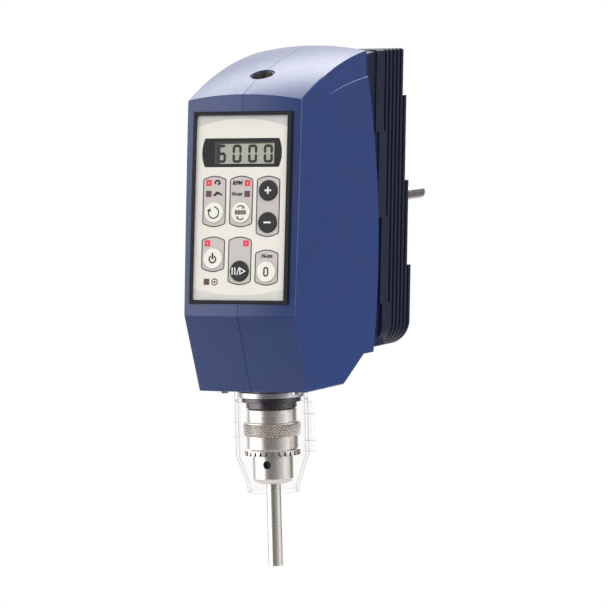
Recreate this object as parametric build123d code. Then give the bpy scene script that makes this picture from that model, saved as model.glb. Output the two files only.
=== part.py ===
from build123d import *
from math import atan2, cos, degrees, hypot, pi, radians, sin, sqrt, tan
import os

# Overhead laboratory stirrer: a belt-driven hollow spindle with a keyed chuck, in a two-shell
# housing with a sloping control panel, a finned heat sink and a support rod on its back.
# Millimetres. It is drawn about the spindle axis (x = y = 0) with z = 0 at the housing's flat
# underside, +Z up and the front towards -Y, and is moved to the support rod's root at the end.

# ---------------------------------------------------------------- driving dimensions
# housing
WALL = 3.0
SEAM_GAP = 0.3
FACE_FOOT = (-49.6, 52.8)        # (y, z) where the chin meets the panel face, on the seam
FACE_HEAD = (-31.5, 200.9)       # (y, z) where the panel face meets the top, on the seam
CHIN_FOOT = (-31.0, 0.0)         # (y, z) where the chin meets the underside, on the seam
FLAT_END = (32.0, 0.0)           # (y, z) where the flat underside ends
SLOPE_END = (66.8, 17.9)         # (y, z) where the sloping underside ends
TOP_MIDDLE = (24.0, 220.8)       # (y, z) a point of the top's arc, on the seam
TOP_REAR = (80.5, 230.8)         # (y, z) where the top ends, on the seam
REAR_BULGE = (92.8, 115.0)       # (y, z) the rear edge's furthest point
REAR_NECK = (80.0, 209.0)        # (y, z) where the rear edge's bulge ends
HALF_WIDTH_FOOT = 40.4
HALF_WIDTH_MIDDLE = 41.7
HALF_WIDTH_HEAD = 42.6
HOUSING_HEIGHT = 231.0
CROWN = 4.5                      # rise of the top's middle over its side edges
FRONT_BOW = 2.6                  # bow of the front's middle over its side edges
ARRIS_RADIUS = 1.2
CREASE_DEPTH = 1.1               # recess of the side above its crease, at the rear
CREASE_START = (-7.0, 193.0)
CREASE_MIDDLE = (35.0, 202.6)
CREASE_END = (80.0, 208.6)
TOP_HOLE_RADIUS = 8.5
BUSH_RECESS = 1.0                # depth of the top bush's end below the housing's top
BUSH_FLANGE = 1.6
SHELL_BOSSES = ((-35.0, 34.0), (-23.5, 190.0), (70.0, 212.0), (71.0, 26.0))   # (y, z)
BOSS_RADIUS = 3.6
SHELL_SCREW_RADIUS = 1.5
SHELL_SCREW_HEAD_RADIUS = 2.8
SHELL_SCREW_HEAD_HEIGHT = 2.2
SCREW_CLEARANCE = 0.15

# control panel, placed by (u, v) from the panel's middle and w along its normal
PANEL_MIDDLE_Z = 125.4
LABEL_WIDTH = 68.0
LABEL_HEIGHT = 124.4
LABEL_THICKNESS = 1.2
LABEL_FACE = -0.8                # w of the label's face
BEZEL_BAND = 2.6
BEZEL_FACE = 0.9                 # w of the bezel's front
BEZEL_SKIRT_DEPTH = 5.0
BEZEL_SKIRT_WALL = 1.3
BEZEL_LEDGE = 2.6
BEZEL_SLOPE = 0.8
PANEL_CLEARANCE = 0.2
WINDOW_MIDDLE_V = 37.1
WINDOW_WIDTH = 59.4
WINDOW_HEIGHT = 19.4
WINDOW_BOW = 2.2
DISPLAY_WIDTH = 46.0
DISPLAY_HEIGHT = 15.6
DISPLAY_DEPTH = 4.6
KEY_RADIUS = 6.9
KEY_CLEARANCE = 0.25
KEY_PROUD = 0.9                  # a key's rise over the label
KEY_FLANGE = 1.0
KEY_FLANGE_THICKNESS = 0.8
KEY_TRAVEL = 0.7
KEY_STEM_RADIUS = 1.8
KEYS = {
    "key_direction": (-19.6, -3.3),
    "key_mode": (0.4, -3.3),
    "key_plus": (20.4, 11.6),
    "key_minus": (20.4, -9.9),
    "key_power": (-19.6, -34.2),
    "key_run": (0.4, -42.6),
    "key_zero": (20.4, -43.0),
}
LAMPS_LIT = ((-24.0, 16.8), (4.8, 16.6), (-24.0, -24.0), (4.8, -23.9))
LAMPS_DARK = ((-24.0, 9.4), (4.8, 9.3), (-24.0, -49.9))
LAMP_SIDE = 4.1
BOARD_THICKNESS = 1.6
BOARD_W = -11.5                  # w of the control board's front
BOARD_WIDTH = 64.0
BOARD_HEIGHT = 112.0
SWITCH_SIDE = 5.0
SWITCH_GAP = 0.15                # between a pressed key's stem and its switch

# spindle and bearings
SPINDLE_RADIUS = 7.5
SPINDLE_BORE_RADIUS = 5.6
SPINDLE_TOP = 201.0
SPINDLE_FOOT = -24.0
BEARING_RADIUS = 15.0
BEARING_HEIGHT = 9.0
BEARING_INNER_RADIUS = 9.6
BEARING_OUTER_INNER_RADIUS = 12.6
SEAL_RECESS = 0.8
SEAL_CLEARANCE = 0.1
LOWER_BEARING_Z = 4.0
UPPER_BEARING_Z = 166.0

# motor and drive
MOTOR_Y = 45.0
MOTOR_RADIUS = 26.0
MOTOR_HEIGHT = 74.0
MOTOR_SHAFT_RADIUS = 4.0
MOTOR_BORE_CLEARANCE = 0.05
PULLEY_Z = 181.0
PULLEY_WIDTH = 12.0
PULLEY_FLANGE = 1.2
SPINDLE_PULLEY_RADIUS = 18.0
MOTOR_PULLEY_RADIUS = 12.0
RIB_PITCH = 2.34
RIB_DEPTH = 1.4
BELT_BACK = 1.2
BELT_CLEARANCE = 0.3
ENCODER_Z = 150.0
ENCODER_RADIUS = 18.0
ENCODER_SLOTS = 24
FLINGER_RADIUS = 20.4
FLINGER_NECK_RADIUS = 17.4
FLINGER_TOP = -6.3
FLINGER_FOOT = -8.8

# cast frame
FRAME_HALF_WIDTH = 33.0
FRAME_WEB = 4.0
FRAME_PLATE = 8.0
FRAME_FRONT = -21.0
FRAME_REAR = 25.0
FRAME_TOP_REAR = 68.0
FRAME_TOP_Z = 168.0
FRAME_BOSS_RADIUS = 18.5
FRAME_NOSE_RADIUS = 17.0
FRAME_SCREWS = ((-27.5, -17.5), (27.5, -17.5), (-27.5, 20.5), (27.5, 20.5))
FRAME_SCREW_RADIUS = 2.0
FRAME_SCREW_HEAD_RADIUS = 3.5

# chuck
CHUCK_TOP = -13.0
SLEEVE_TOP = -13.5
SLEEVE_RADIUS = 17.1
KNURL_TOP = -22.5
KNURL_FOOT = -32.0
KNURL_RADIUS = 18.7
SLEEVE_LOWER_RADIUS = 17.7
RIM_TOP = -40.8
RIM_FOOT = -45.5
RIM_RADIUS = 19.1
RIM_TEETH = 28
TOOTH_DEPTH = 3.2
TOOTH_REACH = 3.6
CHUCK_RADIUS = 13.9
CHUCK_NECK_RADIUS = 10.2
CHUCK_NECK_TOP = -33.0
CHUCK_NECK_FOOT = -44.3
CHUCK_NOSE = -65.0
CHUCK_BORE_RADIUS = 6.6
CHUCK_CLEARANCE = 0.3
NUT_TOP = -40.2
NUT_RADIUS = 16.4
KEY_HOLE_RADIUS = 2.8
KEY_HOLE_DEPTH = 4.5
KEY_HOLE_Z = -51.5
KEY_HOLE_AZIMUTH = 8.0           # of the first chuck key hole, from the front towards +X
JAW_RADIUS = 2.4
JAW_TILT = 15.0
JAW_TIP_AXIS = 5.6               # radius of a jaw's own axis at its tip
JAW_TIP_Z = -66.0
JAW_TOP_Z = -44.5
JAW_CLEARANCE = 0.06
GRIP_CLEARANCE = 0.04
CHUCK_CAPACITY_RADIUS = 6.35     # largest shaft that the jaws open to

# stirring shaft
SHAFT_RADIUS = 5.0
SHAFT_FOOT = -122.0
SHAFT_LENGTH = 300.0

# chuck guard
GUARD_RADIUS = 25.0
GUARD_WALL = 2.0
GUARD_COLLAR_RADIUS = 25.2
GUARD_COLLAR_FOOT = -8.0
GUARD_SHOULDER_Z = -46.0
GUARD_LIP_Z = -66.5
GUARD_FOOT = -71.0
GUARD_LIP_RADIUS = 17.8
GUARD_SPLIT = 0.3
GUARD_WINDOWS = 10
HINGE_X = 28.4
HINGE_RADIUS = 3.6
HINGE_PIN_RADIUS = 1.2
HINGE_TOP = -9.5
HINGE_FOOT = -43.0
HINGE_KNUCKLE = 7.5              # height of each of the fixed half's two knuckles
HINGE_CLEARANCE = 0.3
PIN_CLEARANCE = 0.05
NOSE_RING_RADIUS = 22.6
NOSE_RING_HEIGHT = 3.5

# heat sink
FIN_PITCH = 6.4
FIN_THICKNESS = 3.6
FIN_STEP_HEIGHT = 59.85          # height over which the fins lean by one pitch
FIN_HALF_WIDTH = 40.2
FIN_CORNER = 17.0
FIN_EDGE_ROUND = 1.2
FIRST_FIN_Y = 116.6              # middle of the foremost fin at FIN_DATUM_Z
FIN_DATUM_Z = 191.0
FIRST_REAR_STEP_Z = 193.4
FIRST_FRONT_STEP_Z = 169.6
FULL_FINS = 5                    # fins that reach the top
STEPPED_FINS = 3                 # fins that start at a step
PAD_DEPTH = 18.6                 # from a stepped side pad's front to the middle of its first fin
SINK_FOOT = 17.9
SINK_TOP = 226.5
SINK_PLATE_FRONT = 104.0
SINK_FRONT = 76.0
SINK_SHOULDER = 83.5
SINK_WALL = 4.0
SINK_CLEARANCE = 0.2
SPINE_HALF_WIDTH = 14.0
ROD_BOSS_RADIUS = 11.0

# support rod
ROD_RADIUS = 4.75
ROD_Z = 119.0
ROD_ROOT_Y = 152.0
ROD_REACH = 110.0
ROD_SPIGOT_RADIUS = 4.4          # the turned-down part inside the heat sink
ROD_THREAD_RADIUS = 4.0
ROD_NUT_RADIUS = 7.5
ROD_NUT_HEIGHT = 6.0

# electronics at the back and the mains inlet
POWER_BOARD_Y = 80.0
POWER_BOARD_HALF_WIDTH = 30.0
POWER_BOARD_FOOT = 34.0
POWER_BOARD_TOP = 104.0
POST_RADIUS = 3.0
INLET_WIDTH = 48.0
INLET_HEIGHT = 27.0
INLET_FLANGE = 2.0
INLET_BODY_WIDTH = 27.4
INLET_BODY_HEIGHT = 20.4
INLET_DEPTH = 20.0
INLET_PIN_WIDTH = 2.0
INLET_PIN_HEIGHT = 4.0
INLET_SCREW_X = 20.0

FAR = 400.0                      # half-size of the solids used only for cutting
SWING = tan(radians(JAW_TILT))
LEAN = FIN_PITCH / FIN_STEP_HEIGHT


# ---------------------------------------------------------------- small helpers
def tube(outer, inner, low, high):
    """A ring or tube about the spindle axis."""
    ring = Circle(outer) - Circle(inner)
    return Pos(0, 0, low) * extrude(ring, high - low)


def rod(radius, low, high, x=0.0, y=0.0):
    """A vertical round bar from z = low to z = high."""
    return Pos(x, y, low) * extrude(Circle(radius), high - low)


def block(x0, x1, y0, y1, z0, z1):
    """A rectangular block between two corners."""
    return Pos((x0 + x1) / 2, (y0 + y1) / 2, (z0 + z1) / 2) * Box(x1 - x0, y1 - y0, z1 - z0)


def side_prism(outline, half_width):
    """A face drawn in (y, z) and carried to both sides in x."""
    return extrude(Plane.YZ * outline, half_width, both=True)


def turned(*points):
    """A closed (radius, z) outline turned about the spindle axis."""
    outline = make_face(Polyline(*points, close=True))
    return revolve(Plane.XZ * outline, Axis.Z)


def along_x(radius, y, z, x0, x1):
    """A round bar parallel to X."""
    return Plane(origin=(x0, y, z), z_dir=(1, 0, 0)) * Pos(0, 0, (x1 - x0) / 2) * Cylinder(
        radius, x1 - x0
    )


def along_y(radius, x, z, y0, y1):
    """A round bar parallel to Y."""
    return Plane(origin=(x, y0, z), z_dir=(0, 1, 0)) * Pos(0, 0, (y1 - y0) / 2) * Cylinder(
        radius, y1 - y0
    )


# ---------------------------------------------------------------- housing form
FACE_TILT = atan2(FACE_HEAD[0] - FACE_FOOT[0], FACE_HEAD[1] - FACE_FOOT[1])
CHIN_TILT = atan2(FACE_FOOT[0] - CHIN_FOOT[0], FACE_FOOT[1] - CHIN_FOOT[1])
PANEL_MIDDLE_Y = FACE_FOOT[0] + (PANEL_MIDDLE_Z - FACE_FOOT[1]) * tan(FACE_TILT)
PANEL = Plane(
    origin=(0, PANEL_MIDDLE_Y, PANEL_MIDDLE_Z),
    x_dir=(1, 0, 0),
    z_dir=(0, -cos(FACE_TILT), sin(FACE_TILT)),
)
PANEL_NORMAL = Axis(PANEL.origin, PANEL.z_dir)


REAR_BULGE_FOOT = (REAR_NECK[0] + 1.5, SLOPE_END[1])


def side_outline():
    """The underside and rear edge in the side view; the front and top are left open."""
    return make_face(
        Polyline(REAR_BULGE_FOOT, SLOPE_END, FLAT_END, (-FAR / 2, 0), (-FAR / 2, FAR),
                 (TOP_REAR[0], FAR), TOP_REAR, REAR_NECK)
        + ThreePointArc(REAR_NECK, REAR_BULGE, REAR_BULGE_FOOT)
    )


def top_centre():
    """Centre and radius of the top's arc in (y, z)."""
    (ay, az), (by, bz), (cy, cz) = FACE_HEAD, TOP_MIDDLE, TOP_REAR
    d = 2 * (ay * (bz - cz) + by * (cz - az) + cy * (az - bz))
    a2, b2, c2 = ay**2 + az**2, by**2 + bz**2, cy**2 + cz**2
    y = (a2 * (bz - cz) + b2 * (cz - az) + c2 * (az - bz)) / d
    z = (a2 * (cy - by) + b2 * (ay - cy) + c2 * (by - ay)) / d
    return y, z, hypot(ay - y, az - z)


def crowned_barrel(inset):
    """The top's surface: an arc in the side view and a shallow crown across."""
    y, z, radius = top_centre()
    reach = HALF_WIDTH_HEAD * 1.3
    drop = CROWN * (reach / HALF_WIDTH_HEAD) ** 2
    edge = radius - inset - drop
    half = make_face(
        Polyline((reach, edge), (reach, 0), (-reach, 0), (-reach, edge))
        + ThreePointArc((-reach, edge), (0, radius - inset), (reach, edge))
    )
    return revolve(Plane(origin=(0, y, z), x_dir=(1, 0, 0), z_dir=(0, -1, 0)) * half,
                   Axis((0, y, z), (1, 0, 0)))


def bowed_front(foot, tilt, inset):
    """A large upright cylinder whose skin is the bowed panel face or chin."""
    radius = (HALF_WIDTH_MIDDLE**2 + FRONT_BOW**2) / (2 * FRONT_BOW)
    y = foot[0] + radius * cos(tilt)
    z = foot[1] - radius * sin(tilt)
    plane = Plane(origin=(0, y, z), x_dir=(1, 0, 0), z_dir=(0, sin(tilt), cos(tilt)))
    return plane * Cylinder(radius - inset, 4 * FAR)


def front_section(inset):
    """The front view: the sides narrow slightly towards the underside."""
    foot = (HALF_WIDTH_FOOT - inset, 0)
    middle = (HALF_WIDTH_MIDDLE - inset, HOUSING_HEIGHT * 0.35)
    head = (HALF_WIDTH_HEAD - inset, HOUSING_HEIGHT * 1.05)
    left = [(-x, z) for x, z in (foot, middle, head)]
    outline = make_face(
        Line(left[0], foot)
        + ThreePointArc(foot, middle, head)
        + Line(head, left[2])
        + ThreePointArc(*reversed(left))
    )
    return extrude(Plane.XZ * outline, FAR, both=True)


def form(inset, open_rear=False):
    """The housing's outside, or its inside when it is inset by a wall."""
    outline = side_outline()
    if inset:
        outline = offset(outline, -inset, kind=Kind.INTERSECTION)
    if open_rear:
        floor = SLOPE_END[1] + inset
        outline = outline + Pos(SLOPE_END[0] + FAR / 2, (floor + FAR) / 2) * Rectangle(
            FAR, FAR - floor
        )
    solid = side_prism(outline, 2 * HALF_WIDTH_HEAD)
    solid = solid & front_section(inset)
    solid = solid & crowned_barrel(inset)
    solid = solid & bowed_front(FACE_FOOT, FACE_TILT, inset)
    return solid & bowed_front(CHIN_FOOT, CHIN_TILT, inset)


def crease_cuts():
    """Wedges that set the side back above its crease, deepest at the rear."""
    above = make_face(
        ThreePointArc(CREASE_START, CREASE_MIDDLE, CREASE_END)
        + Polyline(CREASE_END, (CREASE_END[0] + 30, CREASE_END[1]),
                   (CREASE_END[0] + 30, 260), (CREASE_START[0], 260), CREASE_START)
    )
    band = side_prism(above, 2 * HALF_WIDTH_HEAD)
    start, end = CREASE_START[0], CREASE_END[0] + 30
    deep = HALF_WIDTH_HEAD - CREASE_DEPTH * (end - start) / (CREASE_END[0] - start)
    wedge = make_face(
        Polyline((HALF_WIDTH_HEAD + 0.05, start), (deep, end), (FAR, end), (FAR, start),
                 close=True)
    )
    right = band & extrude(wedge, FAR, both=True)
    return right + mirror(right, Plane.YZ)


def is_front_arris(edge):
    """True for the arrises of the panel face, chin, underside and the top's front part."""
    middle = edge.center()
    beside_crease = edge.length > 75 and middle.Z > 200 and abs(middle.X) > 40
    return edge.length > 20 and middle.Y < 65 and middle.Z < 212 and not beside_crease


def housing():
    """Two shells that meet on the middle plane, with their screws."""
    outer = form(0) - crease_cuts()
    outer = fillet(outer.edges().filter_by(is_front_arris), ARRIS_RADIUS)
    shell = outer - form(WALL, open_rear=True)
    skirt_width = LABEL_WIDTH + 2 * BEZEL_SKIRT_WALL + 2 * PANEL_CLEARANCE
    skirt_height = LABEL_HEIGHT + 2 * BEZEL_SKIRT_WALL + 2 * PANEL_CLEARANCE
    shell -= PANEL * Box(skirt_width, skirt_height, 8 * WALL)
    shell -= rod(TOP_HOLE_RADIUS, SPINDLE_TOP - 10, HOUSING_HEIGHT)
    shell -= rod(FRAME_NOSE_RADIUS + PANEL_CLEARANCE, -1, WALL + 1)
    shell -= INLET * Box(INLET_BODY_WIDTH + 2 * PANEL_CLEARANCE,
                         INLET_BODY_HEIGHT + 2 * PANEL_CLEARANCE, 6 * WALL)
    for x, y in FRAME_SCREWS:
        shell -= rod(FRAME_SCREW_RADIUS + SCREW_CLEARANCE, -1, WALL + 1, x, y)
    inside = form(WALL / 2)
    screws = []
    for y, z in SHELL_BOSSES:
        shell += along_x(BOSS_RADIUS, y, z, -FAR / 2, FAR / 2) & inside
        reach = 12.0
        head_face = -(HALF_WIDTH_FOOT - 3.5)
        shell -= along_x(SHELL_SCREW_RADIUS + SCREW_CLEARANCE, y, z, head_face, reach)
        shell -= along_x(SHELL_SCREW_HEAD_RADIUS + SCREW_CLEARANCE, y, z, -FAR / 4, head_face)
        screw = along_x(SHELL_SCREW_RADIUS, y, z, head_face, reach - 0.5)
        head = along_x(SHELL_SCREW_HEAD_RADIUS, y, z, head_face - SHELL_SCREW_HEAD_HEIGHT,
                       head_face)
        slot = block(head_face - SHELL_SCREW_HEAD_HEIGHT, head_face - 1.2, y - 2, y + 2,
                     z - 0.4, z + 0.4)
        screws.append(screw + head - slot)
    halves = {}
    for name, side in (("housing_left", -1), ("housing_right", 1)):
        edge = side * SEAM_GAP / 2
        keep = block(min(edge, side * FAR), max(edge, side * FAR), -FAR, FAR, -FAR, FAR)
        halves[name] = shell & keep
    halves["housing_screws"] = Compound(screws)
    return halves


# ---------------------------------------------------------------- control panel
def slab(width, height, low, high, u=0.0, v=0.0, radius=0.0):
    """A plate in panel coordinates between w = low and w = high."""
    face = RectangleRounded(width, height, radius) if radius else Rectangle(width, height)
    return PANEL * Pos(u, v, low) * extrude(face, high - low)


def panel_bar(radius, low, high, u, v):
    """A round bar along the panel's normal."""
    return PANEL * Pos(u, v, low) * extrude(Circle(radius), high - low)


def window_face(clearance):
    """The display window's outline, with bowed ends."""
    w = WINDOW_WIDTH / 2 + clearance
    h = WINDOW_HEIGHT / 2 + clearance
    return make_face(
        Line((-w + WINDOW_BOW, -h), (w - WINDOW_BOW, -h))
        + ThreePointArc((w - WINDOW_BOW, -h), (w, 0), (w - WINDOW_BOW, h))
        + Line((w - WINDOW_BOW, h), (-w + WINDOW_BOW, h))
        + ThreePointArc((-w + WINDOW_BOW, h), (-w, 0), (-w + WINDOW_BOW, -h))
    )


def bezel():
    """A raised frame that follows the bowed front, with a skirt through the shells."""
    width = LABEL_WIDTH + 2 * BEZEL_BAND
    height = LABEL_HEIGHT + 2 * BEZEL_BAND
    rim = PANEL * Pos(0, 0, -BEZEL_SKIRT_DEPTH) * extrude(
        Rectangle(width, height), BEZEL_SKIRT_DEPTH + BEZEL_FACE
    )
    front = rim.faces().sort_by(PANEL_NORMAL)[-1]
    rim = chamfer(front.edges(), BEZEL_SLOPE)
    rim -= form(-PANEL_CLEARANCE / 4)
    skirt = slab(LABEL_WIDTH + 2 * BEZEL_SKIRT_WALL, LABEL_HEIGHT + 2 * BEZEL_SKIRT_WALL,
                 -BEZEL_SKIRT_DEPTH, BEZEL_FACE / 2)
    frame = rim + skirt
    frame -= slab(LABEL_WIDTH + PANEL_CLEARANCE, LABEL_HEIGHT + PANEL_CLEARANCE,
                  LABEL_FACE - LABEL_THICKNESS, 2 * BEZEL_FACE)
    return frame - slab(LABEL_WIDTH - 2 * BEZEL_LEDGE, LABEL_HEIGHT - 2 * BEZEL_LEDGE,
                        -2 * BEZEL_SKIRT_DEPTH, 2 * BEZEL_FACE)


def control_panel():
    """Bezel, label, window, display, keys, lamps and the board that carries them."""
    back = LABEL_FACE - LABEL_THICKNESS
    label = slab(LABEL_WIDTH, LABEL_HEIGHT, back, LABEL_FACE, radius=0.8)
    label -= PANEL * Pos(0, WINDOW_MIDDLE_V, back - 1) * extrude(window_face(0.05), 4)
    keys = {}
    switches = []
    stem_foot = BOARD_W + 3.5
    for name, (u, v) in KEYS.items():
        label -= panel_bar(KEY_RADIUS + KEY_CLEARANCE, back - 1, LABEL_FACE + 1, u, v)
        top = LABEL_FACE + KEY_PROUD
        cap = panel_bar(KEY_RADIUS, back - 0.3, top, u, v)
        crown_edge = cap.edges().sort_by(PANEL_NORMAL)[-1]
        cap = chamfer(crown_edge, 0.4)
        flange_top = back - 0.3
        cap += panel_bar(KEY_RADIUS + KEY_FLANGE, flange_top - KEY_FLANGE_THICKNESS,
                         flange_top, u, v)
        cap += panel_bar(KEY_STEM_RADIUS, stem_foot + KEY_TRAVEL, flange_top, u, v)
        keys[name] = cap
        switches.append(slab(SWITCH_SIDE, SWITCH_SIDE, BOARD_W, stem_foot - SWITCH_GAP, u, v))
    lamps = {"lamps_lit": [], "lamps_dark": []}
    for name, places in (("lamps_lit", LAMPS_LIT), ("lamps_dark", LAMPS_DARK)):
        for u, v in places:
            side = LAMP_SIDE + 0.1
            label -= slab(side, side, back - 1, LABEL_FACE + 1, u, v)
            lens = slab(LAMP_SIDE, LAMP_SIDE, back, LABEL_FACE + 0.15, u, v)
            leg = slab(2.0, 2.0, BOARD_W, back, u, v)
            lamps[name].append(lens + leg)
    window = PANEL * Pos(0, WINDOW_MIDDLE_V, back) * extrude(window_face(0.0),
                                                             LABEL_THICKNESS - 0.2)
    display = slab(DISPLAY_WIDTH, DISPLAY_HEIGHT, back - DISPLAY_DEPTH, back, 0,
                   WINDOW_MIDDLE_V)
    for side in (-1, 1):
        display += slab(3.0, DISPLAY_HEIGHT, BOARD_W, back - DISPLAY_DEPTH,
                        side * (DISPLAY_WIDTH / 2 - 1.5), WINDOW_MIDDLE_V)
    board_back = BOARD_W - BOARD_THICKNESS
    board = slab(BOARD_WIDTH, BOARD_HEIGHT, board_back, BOARD_W)
    for side in (-1, 1):
        for end in (-1, 1):
            board += slab(4.0, 4.0, BOARD_W, -BEZEL_SKIRT_DEPTH,
                          side * (BOARD_WIDTH / 2 - 2), end * (BOARD_HEIGHT / 2 - 2))
    board += slab(14.0, 14.0, board_back - 1.8, board_back, 10, 0)
    board += slab(20.0, 5.0, board_back - 5.0, board_back, 0, -48)
    pieces = {
        "bezel": bezel(),
        "label_panel": label,
        "display_window": window,
        "display": display,
        "control_board": board,
        "key_switches": Compound(switches),
    }
    pieces.update(keys)
    pieces.update({name: Compound(solids) for name, solids in lamps.items()})
    return pieces


# ---------------------------------------------------------------- spindle, bearings, drive
def sealed_bearing(z):
    """The outer ring with its two seals, and the inner ring, of one bearing from height z up."""
    top = z + BEARING_HEIGHT
    seal_edge = BEARING_INNER_RADIUS + SEAL_CLEARANCE
    outer = turned(
        (BEARING_RADIUS, z), (BEARING_RADIUS, top), (BEARING_OUTER_INNER_RADIUS, top),
        (BEARING_OUTER_INNER_RADIUS, top - SEAL_RECESS), (seal_edge, top - SEAL_RECESS),
        (seal_edge, z + SEAL_RECESS), (BEARING_OUTER_INNER_RADIUS, z + SEAL_RECESS),
        (BEARING_OUTER_INNER_RADIUS, z),
    )
    inner = tube(BEARING_INNER_RADIUS, SPINDLE_RADIUS, z, top)
    return outer, inner


def ribbed_pulley(radius, hub_radius, bore, low_hub):
    """A flanged pulley with round ribs, and a hub that reaches down to low_hub."""
    low, high = PULLEY_Z, PULLEY_Z + PULLEY_WIDTH
    points = [(bore, low_hub), (hub_radius, low_hub), (hub_radius, low)]
    rim = radius + PULLEY_FLANGE
    points += [(rim, low), (rim, low + PULLEY_FLANGE), (radius, low + PULLEY_FLANGE)]
    ribs = int((PULLEY_WIDTH - 2 * PULLEY_FLANGE) / RIB_PITCH)
    first = (low + high - ribs * RIB_PITCH) / 2
    for n in range(ribs):
        foot = first + n * RIB_PITCH
        points += [(radius, foot), (radius - RIB_DEPTH, foot + RIB_PITCH / 2)]
    points += [(radius, first + ribs * RIB_PITCH), (radius, high - PULLEY_FLANGE)]
    points += [(rim, high - PULLEY_FLANGE), (rim, high), (bore, high)]
    return turned(*points)


def belt_loop(offset_out):
    """The outline of a loop round both pulleys, a distance outside their rims."""
    wide = SPINDLE_PULLEY_RADIUS + offset_out
    narrow = MOTOR_PULLEY_RADIUS + offset_out
    lean = (wide - narrow) / MOTOR_Y
    side = sqrt(1 - lean**2)
    a = (wide * side, wide * lean)
    b = (narrow * side, MOTOR_Y + narrow * lean)
    return make_face(
        ThreePointArc((-a[0], a[1]), (0, -wide), a)
        + Line(a, b)
        + ThreePointArc(b, (0, MOTOR_Y + narrow), (-b[0], b[1]))
        + Line((-b[0], b[1]), (-a[0], a[1]))
    )


def drive_belt():
    """A flat-backed belt with ribs along its inside, one in each pulley groove."""
    width = PULLEY_WIDTH - 2 * PULLEY_FLANGE - 2 * BELT_CLEARANCE
    low = PULLEY_Z + PULLEY_FLANGE + BELT_CLEARANCE
    loop = extrude(belt_loop(BELT_CLEARANCE + BELT_BACK) - belt_loop(BELT_CLEARANCE), width)
    return Pos(0, 0, low) * loop


def spindle_group():
    """Everything that turns with the spindle above the chuck, and the parts that hold it."""
    lower_outer, lower_inner = sealed_bearing(LOWER_BEARING_Z)
    upper_outer, upper_inner = sealed_bearing(UPPER_BEARING_Z)
    spindle = turned(
        (SPINDLE_BORE_RADIUS, SPINDLE_FOOT), (SPINDLE_RADIUS, SPINDLE_FOOT),
        (SPINDLE_RADIUS, SPINDLE_TOP - 0.6), (SPINDLE_RADIUS - 0.6, SPINDLE_TOP),
        (SPINDLE_BORE_RADIUS, SPINDLE_TOP),
    )
    collar_low = LOWER_BEARING_Z + BEARING_HEIGHT
    spindle += tube(SPINDLE_RADIUS + 1.6, SPINDLE_RADIUS, collar_low, collar_low + 6)
    spindle += tube(SPINDLE_RADIUS + 1.6, SPINDLE_RADIUS, UPPER_BEARING_Z - 6,
                    UPPER_BEARING_Z)
    pulley = ribbed_pulley(SPINDLE_PULLEY_RADIUS, SPINDLE_RADIUS + 2.0, SPINDLE_RADIUS,
                           UPPER_BEARING_Z + BEARING_HEIGHT)
    nut = Pos(0, 0, PULLEY_Z + PULLEY_WIDTH) * extrude(
        RegularPolygon(SPINDLE_RADIUS + 4.0, 6) - Circle(SPINDLE_RADIUS), 5.0
    )
    disc = tube(ENCODER_RADIUS, SPINDLE_RADIUS + 2.5, ENCODER_Z, ENCODER_Z + 0.8)
    for turn in PolarLocations(ENCODER_RADIUS - 2.2, ENCODER_SLOTS):
        disc -= Pos(0, 0, ENCODER_Z) * turn * Box(2.4, 1.4, 6)
    disc += tube(SPINDLE_RADIUS + 2.5, SPINDLE_RADIUS, ENCODER_Z - 3, ENCODER_Z + 4)
    flinger = tube(FLINGER_NECK_RADIUS, SPINDLE_RADIUS, CHUCK_TOP, FLINGER_FOOT)
    flinger += tube(FLINGER_RADIUS, SPINDLE_RADIUS, FLINGER_FOOT, FLINGER_TOP)
    return {
        "spindle": spindle,
        "spindle_pulley": pulley,
        "spindle_nut": nut,
        "encoder_disc": disc,
        "flinger": flinger,
        "lower_bearing_outer": lower_outer,
        "lower_bearing_inner": lower_inner,
        "upper_bearing_outer": upper_outer,
        "upper_bearing_inner": upper_inner,
    }


def motor_group():
    """The motor's case, its shaft and small pulley, and the belt."""
    case_foot = FRAME_TOP_Z - MOTOR_HEIGHT
    bore = MOTOR_SHAFT_RADIUS + MOTOR_BORE_CLEARANCE
    case = turned(
        (bore, case_foot), (MOTOR_RADIUS - 2, case_foot), (MOTOR_RADIUS, case_foot + 2),
        (MOTOR_RADIUS, FRAME_TOP_Z - 5), (MOTOR_RADIUS - 1.5, FRAME_TOP_Z - 5),
        (MOTOR_RADIUS - 1.5, FRAME_TOP_Z), (bore, FRAME_TOP_Z),
    )
    shaft = rod(MOTOR_SHAFT_RADIUS, case_foot - 4, PULLEY_Z + PULLEY_WIDTH + 2)
    pulley = ribbed_pulley(MOTOR_PULLEY_RADIUS, MOTOR_SHAFT_RADIUS + 2.5,
                           MOTOR_SHAFT_RADIUS, PULLEY_Z - 1.5)
    place = Pos(0, MOTOR_Y, 0)
    return {
        "motor_case": place * case,
        "motor_shaft": place * shaft,
        "motor_pulley": place * pulley,
        "drive_belt": drive_belt(),
    }


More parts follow.
